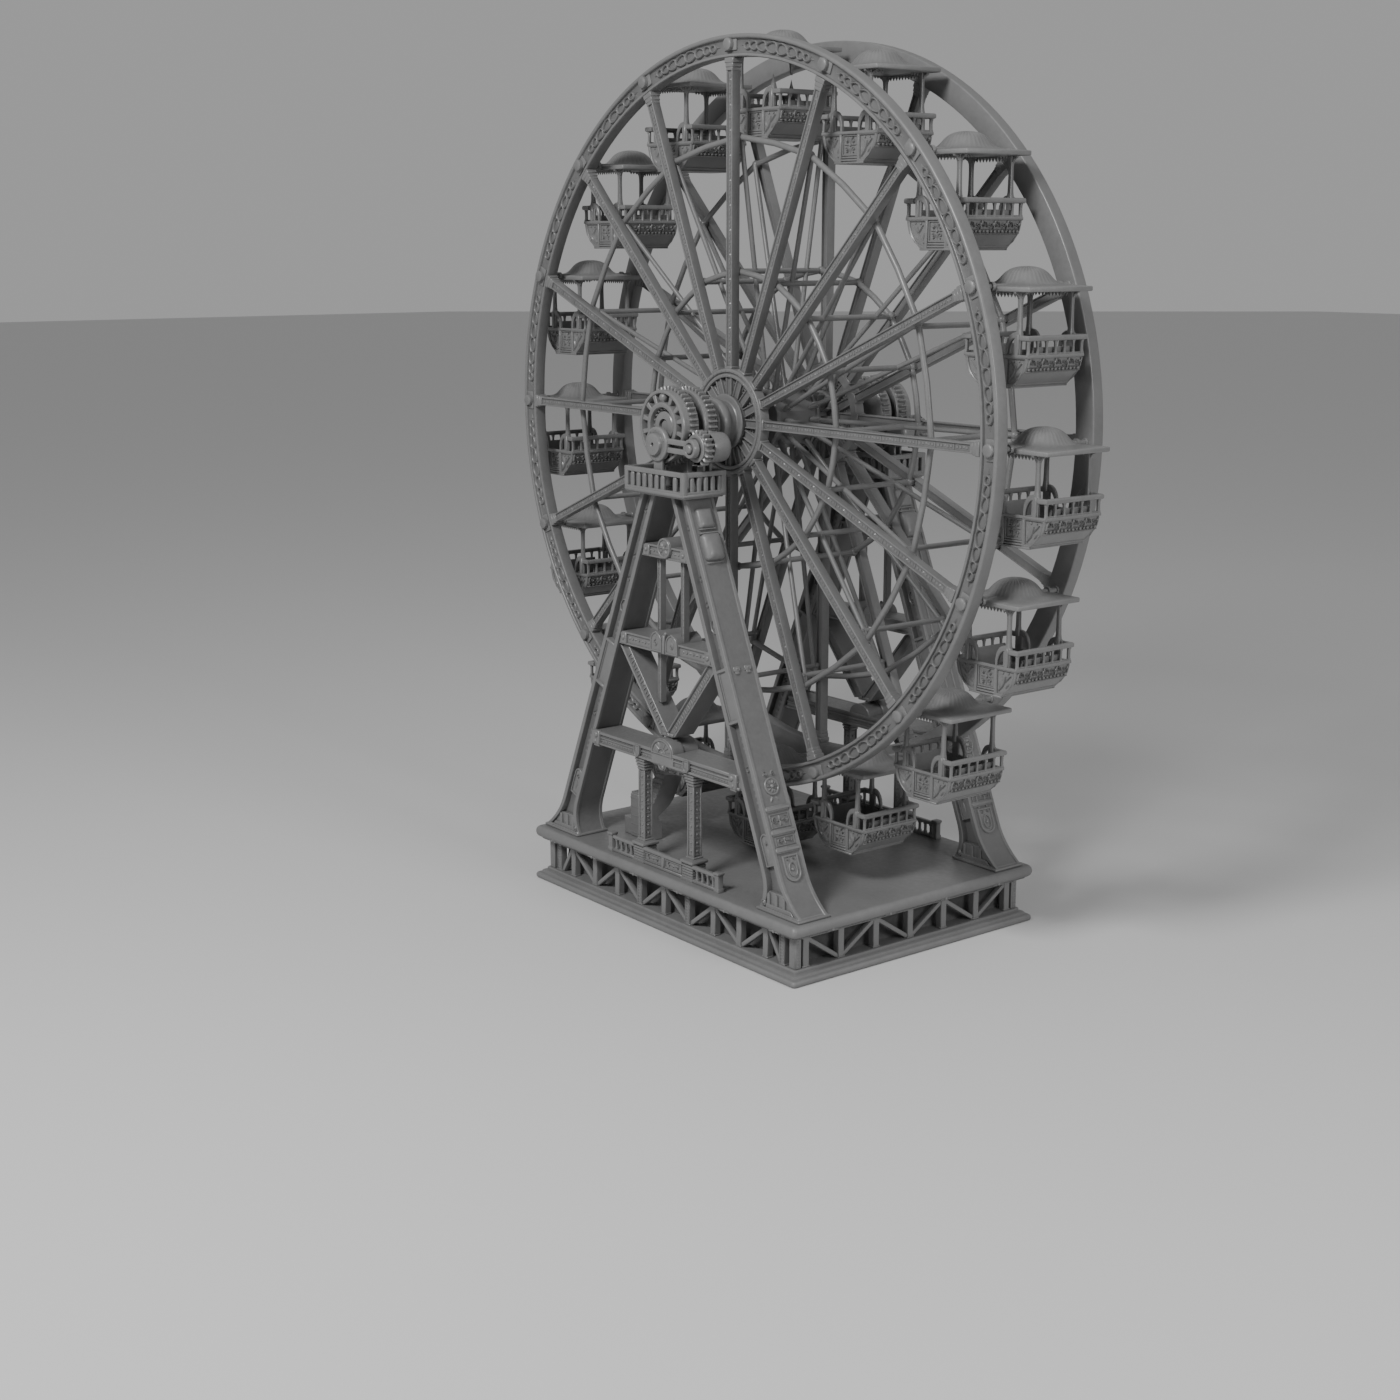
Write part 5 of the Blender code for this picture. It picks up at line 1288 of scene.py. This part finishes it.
# ------------------------------------------------- columns, railing, platform
def portico():
    P = Piece()
    m = FRONT
    for t in (-1, 1):
        x, y = t * 1.03, -3.55
        # pedestal
        stack(P, x, y - 0.015, [(0.245, 0.255, 1.5012), (0.245, 0.255, 1.56), (0.225, 0.235, 1.575)], r=0.012, n=1)
        for i in range(5):
            z = 1.575 + 0.068 * i
            stack(P, x, y - 0.015, [(0.205, 0.215, z), (0.215, 0.225, z + 0.008), (0.215, 0.225, z + 0.046), (0.205, 0.215, z + 0.056), (0.190, 0.200, z + 0.060), (0.190, 0.200, z + 0.068)], r=0.012, n=1)
        stack(P, x, y - 0.015, [(0.195, 0.205, 1.91), (0.215, 0.225, 1.935)] + nosing(0.255, 0.265, 1.94, 2.03, 0.03, 2) + [(0.20, 0.21, 2.035), (0.17, 0.17, 2.06)], r=0.02, n=2)
        # shaft: core, four edge angles, beads in pairs
        stack(P, x, y, [(0.105, 0.105, 2.05), (0.105, 0.105, 4.0)])
        for a in (-1, 1):
            for b in (-1, 1):
                cbox(P, x + a * 0.112 - 0.022, x + a * 0.112 + 0.022, y + b * 0.112 - 0.022, y + b * 0.112 + 0.022, 2.05, 4.0, 0.007)
        for ax, sg in (("x", 1), ("x", -1), ("y", 1), ("y", -1)):
            F = frame_of((x, y, 0), (0, 1, 0), (0, 0, 1), (sg, 0, 0)) if ax == "x" else frame_of((x, y, 0), (1, 0, 0), (0, 0, 1), (0, sg, 0))
            for i in range(9):
                z = 2.16 + 0.216 * i
                cbox(P, -0.085, 0.085, z - 0.020, z + 0.020, 0.10, 0.120, 0.005, F)
                dome(P, (0, z + 0.095, 0.104), 0.036, 0.030, 10, 3, F)
                dome(P, (0, z + 0.095 - 0.062, 0.104), 0.014, 0.014, 6, 1, F)
        stack(P, x, y, [(0.150, 0.150, 2.055), (0.160, 0.160, 2.065), (0.160, 0.160, 2.095), (0.14, 0.14, 2.11)], r=0.01, n=1)
        # capital of rounded steps
        z = 3.94
        for i, h in enumerate((0.155, 0.172, 0.188, 0.200)):
            hh = 0.080
            stack(P, x, y, nosing(h, h, z, z + hh - 0.008, 0.022, 2) + [(h - 0.035, h - 0.035, z + hh)], r=0.02, n=2)
            z += hh
        stack(P, x, y, [(0.17, 0.17, z - 0.01), (0.20, 0.20, 4.272)], r=0.01, n=1)
        # outer bay of the railing
        ex = t * 2.25
        stack(P, ex, -3.74, [(0.095, 0.095, 1.5012), (0.095, 0.095, 1.60), (0.080, 0.080, 1.62), (0.080, 0.080, 1.93), (0.095, 0.095, 1.94)] + nosing(0.108, 0.108, 1.945, 2.018, 0.022, 2), r=0.012, n=2)
        x0, x1 = sorted((t * 1.24, t * 2.18))
        cbox(P, x0, x1, 1.5012, 1.585, 3.685, 3.795, 0.02, m)
        prism(P, rrect(0.060, 0.050, 0.028, 3), x0, x1, 0.01, frame_of((0, -3.74, 1.895), (0, 1, 0), (0, 0, 1), (1, 0, 0)))
        for i in range(4):
            bx = t * (1.40 + 0.215 * i)
            stack(P, bx, -3.74, [(0.045, 0.040, 1.58), (0.045, 0.040, 1.62), (0.032, 0.030, 1.64), (0.032, 0.030, 1.80), (0.045, 0.040, 1.82), (0.045, 0.040, 1.86)], r=0.006, n=1)
    # middle bay: two panels and a mullion
    cbox(P, -0.82, 0.82, 1.5012, 1.585, 3.685, 3.795, 0.02, m)
    prism(P, rrect(0.062, 0.052, 0.028, 3), -0.82, 0.82, 0.01, frame_of((0, -3.74, 1.895), (0, 1, 0), (0, 0, 1), (1, 0, 0)))
    cbox(P, -0.055, 0.055, 1.57, 1.87, 3.69, 3.80, 0.014, m)
    cbox(P, -0.82, 0.82, 1.57, 1.86, 3.71, 3.755, 0.006, m)
    for t in (-1, 1):
        pan = [(t * 0.08, 1.605), (t * 0.78, 1.605), (t * 0.78, 1.83), (t * 0.08, 1.83)]
        border(P, pan, 0.028, 3.75, 3.785, 0.008, m)
        border(P, pan, 0.028, 3.69, 3.715, 0.008, m)
        for u in (-1, 1):
            scroll(P, t * 0.43 + u * 0.17, 1.72, 0.066, pi / 2, u * 1.35, 0.030, 0.032, 11, m @ T(0, 0, 3.753))
            leaf(P, t * 0.43, 1.72, 0 if u > 0 else pi, 0.15, 0.05, 0.03, m @ T(0, 0, 3.753))
        dome(P, (t * 0.43, 1.72, 3.753), 0.035, 0.035, 10, 3, m)
    return P


def platform(front):
    P = Piece()
    X, y0, y1 = 1.20, -4.02, -2.70
    cy, hy = (y0 + y1) / 2, (y1 - y0) / 2
    stack(P, 0, cy, [(X - 0.16, hy - 0.12, 11.121), (X - 0.06, hy - 0.05, 11.13), (X - 0.055, hy - 0.045, 11.155), (X - 0.015, hy - 0.012, 11.165)] +
          nosing(X, hy, 11.168, 11.258, 0.018, 2), r=0.015, n=2)
    # top rail as a frame
    sweep(P, [(-X + 0.062, y0 + 0.062, 11.712), (X - 0.062, y0 + 0.062, 11.712), (X - 0.062, y1 - 0.062, 11.712), (-X + 0.062, y1 - 0.062, 11.712)], rrect(0.060, 0.064, 0.026, 3), closed=True)
    sweep(P, [(-X + 0.062, y0 + 0.062, 11.275), (X - 0.062, y0 + 0.062, 11.275), (X - 0.062, y1 - 0.062, 11.275), (-X + 0.062, y1 - 0.062, 11.275)], rrect(0.056, 0.032, 0.012, 2), closed=True)
    for a in (-1, 1):
        for b in (-1, 1):
            stack(P, a * (X - 0.068), cy + b * (hy - 0.068), [(0.068, 0.068, 11.24), (0.068, 0.068, 11.768), (0.055, 0.055, 11.779)], r=0.012, n=2)
    bal = [(0.070, 0.046, 11.29), (0.074, 0.048, 11.31), (0.075, 0.048, 11.56), (0.071, 0.046, 11.60), (0.060, 0.040, 11.635), (0.040, 0.028, 11.66), (0.028, 0.02, 11.67)]
    for s in (-1, 1):
        for i in range(8):
            if s < 0 and front and i == 6:
                continue                        # one baluster is missing near the right end
            x = -X + 0.29 + 0.247 * i
            stack(P, x, cy + s * (hy - 0.060), bal, r=0.036, n=3)
        for i in range(5):
            y = y0 + 0.30 + 0.212 * i
            if y < y1 - 0.12:
                stack(P, s * (X - 0.060), y, [(b, a * 0.86, z) for a, b, z in bal], r=0.030, n=3)
    return P


for nm, s in (("front", 1), ("rear", -1)):
    P = Piece()
    P.join(portico(), mirror(y=s))
    build(nm + "_portico_detail", P, "tower", "structure", nm + "_portico", mat=STEEL)
    P = Piece()
    P.join(platform(s > 0), mirror(y=s))
    build(nm + "_platform_detail", P, "tower", "structure", nm + "_bearing_platform", mat=STEEL)

# ------------------------------------------------------------ boarding stair
P = Piece()
YZ = frame_of((0, 0, 0), (0, 1, 0), (0, 0, 1), (1, 0, 0))
stair = [(-2.55, 1.51), (-2.09, 1.51), (-2.09, 2.02), (-2.20, 2.04), (-2.20, 2.15), (-1.86, 2.37), (-1.70, 2.55), (-1.42, 3.08), (-1.42, 3.13), (-1.60, 3.19), (-1.80, 3.24), (-1.98, 3.255)]
steps = []
for i in range(9):
    a, b = i / 9, (i + 1) / 9
    p = np.array([-1.98, 3.255]) * (1 - a) + np.array([-2.54, 2.24]) * a
    q = np.array([-1.98, 3.255]) * (1 - b) + np.array([-2.54, 2.24]) * b
    steps += [(p[0], p[1] - 0.02), (q[0] + 0.012, p[1] - 0.045), (q[0], p[1] - 0.06), (q[0] + 0.004, q[1] + 0.0)]
prism(P, stair + steps + [(-2.55, 2.20)], -2.68, -2.27, 0.01, YZ)
for i in range(9):
    a = (i + 0.5) / 9
    p = np.array([-1.98, 3.255]) * (1 - a) + np.array([-2.54, 2.24]) * a
    for j in range(4):
        x = -2.62 + 0.097 * j
        dome(P, (x + 0.01, p[0], p[1] + 0.02), 0.030, 0.022, 8, 2)
cbox(P, -3.08, -2.70, -2.56, -2.22, 1.502, 2.70, 0.03)
cbox(P, -3.05, -2.72, -2.54, -2.24, 2.68, 2.745, 0.02)
cbox(P, -3.42, -3.09, -2.52, -2.26, 1.502, 1.99, 0.025)
for z in (1.62, 1.86, 2.10, 2.34, 2.58):
    cbox(P, -3.06, -2.72, -2.572, -2.55, z - 0.012, z + 0.012, 0.006)
build("boarding_stair_detail", P, "tower", "structure", "boarding_stair", mat=STEEL, angle=30)

# --------------------------------------------------------------------- gears
PX = (42 + 18) * 0.0443 / 2 + 0.004
PX, PZ = PX * cos(radians(-19.5)), H + PX * sin(radians(-19.5))


def toothed(n, pitch_r, phase, tip=0.88, root=1.12):
    """Outline with rounded teeth, in (x, z) about the axle, the first tooth at the phase angle."""
    mod = 2 * pitch_r / n
    hi, lo = pitch_r + tip * mod, pitch_r - root * mod
    q = 2 * pi / n
    out = []
    for i in range(n):
        a = q * i + phase
        for da, rr in ((-0.36, lo), (-0.27, lo + 0.30 * (hi - lo)), (-0.19, hi - 0.22 * (hi - lo)), (-0.10, hi), (0.10, hi), (0.19, hi - 0.22 * (hi - lo)), (0.27, lo + 0.30 * (hi - lo)), (0.36, lo)):
            out.append((rr * sin(a + da * q), rr * cos(a + da * q)))
    return out


GEAR_PITCH = 42 * 0.0443 / 2
PIN_PITCH = 18 * 0.0443 / 2
seat = pi / 2 + radians(19.5)
half_pitch = pi / 42
pin_phase = seat + pi + ((seat - half_pitch) % (2 * half_pitch)) * 42 / 18
for nm, s in (("front", -1), ("rear", 1)):
    A = frame_of((0, 0, H), (1, 0, 0), (0, 0, 1), (0, s, 0))
    # outer gear: toothed ring, smooth band, windowed face, bead ring and knob
    P = Piece()
    prism(P, toothed(42, GEAR_PITCH, 0.0), 3.34, 3.58, 0.022, A)
    lathe(P, [(0.80, 3.27), (0.80, 3.35), (0.862, 3.35), (0.862, 3.285), (0.855, 3.27)], 72, A, closed=True)
    lathe(P, [(0.795, 3.57), (0.795, 3.735), (0.805, 3.760), (0.825, 3.772), (0.853, 3.772), (0.873, 3.764), (0.885, 3.742), (0.888, 3.70), (0.888, 3.57)], 96, A, closed=True)
    lathe(P, [(0.455, 3.57), (0.455, 3.735), (0.468, 3.760), (0.49, 3.770), (0.555, 3.770), (0.578, 3.758), (0.588, 3.735), (0.588, 3.57)], 64, A, closed=True)
    for j in range(14):
        t = 2 * pi * j / 14
        prism(P, [(0.575, -0.046), (0.81, -0.066), (0.81, 0.066), (0.575, 0.046)], 3.57, 3.738, 0.016, A @ rot("Z", t + pi / 2))
    for j in range(20):
        t = 2 * pi * j / 20
        dome(P, (0.418 * cos(t), 0.418 * sin(t), 3.60), 0.044, 0.085, 8, 3, A)
    lathe(P, [(0.18, 3.57), (0.18, 3.70), (0.34, 3.70), (0.36, 3.68), (0.36, 3.57)], 48, A, closed=True)
    dome(P, (-0.02, 0.695, 3.675), 0.118, 0.112, 18, 5, A)
    build(nm + "_ring_gear_detail", P, "wheel", "machinery", nm + "_ring_gear", mat=GEAR, angle=34)
    # inner gear: teeth, short drum, conical flange and neck
    P = Piece()
    prism(P, toothed(42, 0.908, pi / 42), 2.74, 2.99, 0.022, A)
    lathe(P, [(0.80, 2.97), (0.862, 2.97), (0.862, 3.075), (0.855, 3.088), (0.80, 3.088), (0.795, 3.03), (0.40, 3.02), (0.36, 3.0), (0.165, 3.0), (0.165, 2.97)], 64, A)
    lathe(P, [(0.165, 2.63), (0.50, 2.63), (0.60, 2.635), (0.70, 2.66), (0.84, 2.70), (0.88, 2.73), (0.88, 2.75), (0.40, 2.75)], 64, A)
    build(nm + "_inner_gear_detail", P, "wheel", "machinery", nm + "_inner_gear", mat=GEAR, angle=34)
    # motor and its foot
    B = frame_of((PX, 0, PZ), (1, 0, 0), (0, 0, 1), (0, s, 0))
    P = Piece()
    lathe(P, [(0.0, 2.82), (0.25, 2.82), (0.30, 2.832), (0.335, 2.862), (0.355, 2.91), (0.36, 2.97), (0.36, 3.33), (0.352, 3.352), (0.335, 3.360), (0.0, 3.362)], 56, B)
    lathe(P, [(0.0, 3.35), (0.13, 3.35), (0.13, 3.395), (0.0, 3.396)], 20, B)
    Z0 = 11.262
    for yy in (3.06, 3.26):
        prism(P, [(0.78, Z0), (1.06, Z0), (1.045, PZ - 0.25), (0.98, PZ - 0.18), (0.93, PZ - 0.10), (0.88, PZ - 0.14), (0.80, PZ - 0.24)], yy - 0.035, yy + 0.035, 0.010, frame_of((0, 0, 0), (1, 0, 0), (0, 0, 1), (0, s, 0)))
    cbox(P, 0.77, 1.07, min(s * 3.02, s * 3.30), max(s * 3.02, s * 3.30), Z0, Z0 + 0.05, 0.012)
    build(nm + "_motor_detail", P, "tower", "machinery", nm + "_drive_motor", mat=GEAR)
    # pillow block
    P = Piece()
    C = frame_of((0, 0, 0), (1, 0, 0), (0, 0, 1), (0, s, 0))
    k = [(-0.55, Z0), (-0.18, Z0), (-0.16, 11.62), (0.16, 11.62), (0.18, Z0), (0.55, Z0), (0.50, 11.40), (0.40, 11.62), (0.345, 12.2), (0.34, H)]
    k += [(0.34 * cos(t), H + 0.34 * sin(t)) for t in np.linspace(0, pi, 15)[1:-1]] + [(-0.34, H), (-0.345, 12.2), (-0.40, 11.62), (-0.50, 11.40)]
    prism(P, k, 3.10, 3.26, 0.018, C)
    lathe(P, [(0.172, 3.093), (0.24, 3.093), (0.25, 3.098), (0.25, 3.262), (0.24, 3.267), (0.172, 3.267)], 32, A, closed=True)
    for t in (-1, 1):
        dome(P, (t * 0.46, s * 3.18, Z0 + 0.10), 0.035, 0.04, 6, 2)
    build(nm + "_bearing_detail", P, "tower", "machinery", nm + "_axle_bearing", mat=GEAR)
    # bracket: slim stand, stepped boss, two-bar arm and ringed eye
    P = Piece()
    bz = 12.38
    flare = [(0.34, Z0), (0.31, Z0 + 0.05), (0.22, Z0 + 0.16), (0.175, Z0 + 0.34), (0.17, Z0 + 0.62), (0.20, Z0 + 0.85), (0.26, bz)]
    prism(P, flare + [(-a, b) for a, b in flare[::-1]], 3.80, 3.885, 0.018, C)
    D = frame_of((0, 0, bz), (1, 0, 0), (0, 0, 1), (0, s, 0))
    lathe(P, [(0.0, 3.795), (0.395, 3.795), (0.418, 3.805), (0.430, 3.83), (0.430, 3.895), (0.422, 3.925), (0.400, 3.944), (0.370, 3.950), (0.295, 3.950), (0.282, 3.942), (0.270, 3.950), (0.266, 3.965),
              (0.266, 4.020), (0.258, 4.042), (0.238, 4.052), (0.052, 4.052), (0.046, 4.046), (0.046, 3.97), (0.0, 3.97)], 56, D)
    for j in range(10):
        t = 2 * pi * (j + 0.5) / 10
        dome(P, (0.350 * cos(t), 0.350 * sin(t), 3.948), 0.024, 0.022, 8, 2, D)
    d = np.array([PX, PZ - bz])
    L = np.linalg.norm(d)
    d /= L
    for t in (-1, 1):
        m = C @ frame_of((0, bz, 3.850), (d[0], d[1], 0), (-d[1], d[0], 0), (0, 0, 1)) @ T(0, t * 0.105, 0)
        prism(P, rrect(0.068, 0.045, 0.022, 3), 0.30, L - 0.14, 0.004, m @ frame_of((0, 0, 0), (0, 1, 0), (0, 0, 1), (1, 0, 0)))
    lathe(P, [(0.125, 3.735), (0.215, 3.735), (0.230, 3.745), (0.232, 3.87), (0.222, 3.892), (0.200, 3.900), (0.165, 3.898), (0.145, 3.885), (0.135, 3.865), (0.125, 3.85)], 40, B, closed=True)
    build(nm + "_bracket_detail", P, "tower", "machinery", nm + "_drive_bracket", mat=GEAR)
    # pinion: rounded teeth, raised face ring, domed shaft end
    P = Piece()
    outline = [(x, z) for x, z in toothed(18, PIN_PITCH, pin_phase)]
    prism(P, outline, 3.415, 3.665, 0.030, B)
    lathe(P, [(0.0, 3.66), (0.30, 3.66), (0.335, 3.668), (0.340, 3.690), (0.325, 3.706), (0.27, 3.712), (0.25, 3.706), (0.24, 3.69), (0.115, 3.69), (0.115, 3.88), (0.110, 3.915), (0.094, 3.940), (0.06, 3.955), (0.0, 3.960)], 40, B)
    build(nm + "_pinion_detail", P, nm + "_pinion", "machinery", nm + "_pinion", mat=GEAR, angle=34)

# ---------------------------------------------------------------- surroundings
me = bpy.data.meshes.new("floor")
me.from_pydata([(-400, -400, 0), (400, -400, 0), (400, 400, 0), (-400, 400, 0)], [], [(0, 1, 2, 3)])
floor = bpy.data.objects.new("floor", me)
bpy.context.scene.collection.objects.link(floor)
fm = bpy.data.materials.new("floor_paint")
fm.use_nodes = True
fb = fm.node_tree.nodes["Principled BSDF"]
fb.inputs["Base Color"].default_value = (0.62, 0.62, 0.62, 1)
fb.inputs["Roughness"].default_value = 0.9
me.materials.append(fm)

world = bpy.data.worlds.new("studio")
bpy.context.scene.world = world
world.use_nodes = True
bg = world.node_tree.nodes["Background"]
bg.inputs["Color"].default_value = (1, 1, 1, 1)
bg.inputs["Strength"].default_value = 0.36


def area(name, at, look, size, power):
    la = bpy.data.lights.new(name, "AREA")
    la.shape = "SQUARE"
    la.size = size
    la.energy = power
    ob = bpy.data.objects.new(name, la)
    bpy.context.scene.collection.objects.link(ob)
    d = (Vector(look) - Vector(at)).normalized()
    ob.matrix_world = Matrix.Translation(at) @ d.to_track_quat("-Z", "Y").to_matrix().to_4x4()
    return ob


area("key", (14, -44, 46), (0, 0, 10), 14, 30000)
area("side", (54, 2, 26), (0, 0, 9), 14, 9000)

cam = bpy.data.cameras.new("camera")
cam.sensor_width = 36
cam.lens = 51.98
cam.clip_end = 500
camera = bpy.data.objects.new("camera", cam)
bpy.context.scene.collection.objects.link(camera)
az, el = radians(52.04), radians(12.82)
back = Vector((sin(az) * cos(el), -cos(az) * cos(el), sin(el)))
right = Vector((cos(az), sin(az), 0))
up = back.cross(right)
rotm = Matrix((right, up, back)).transposed()
camera.matrix_world = Matrix.Translation((39.555, -33.432, 17.223)) @ rotm.to_4x4()
bpy.context.scene.camera = camera

bpy.context.view_layer.update()
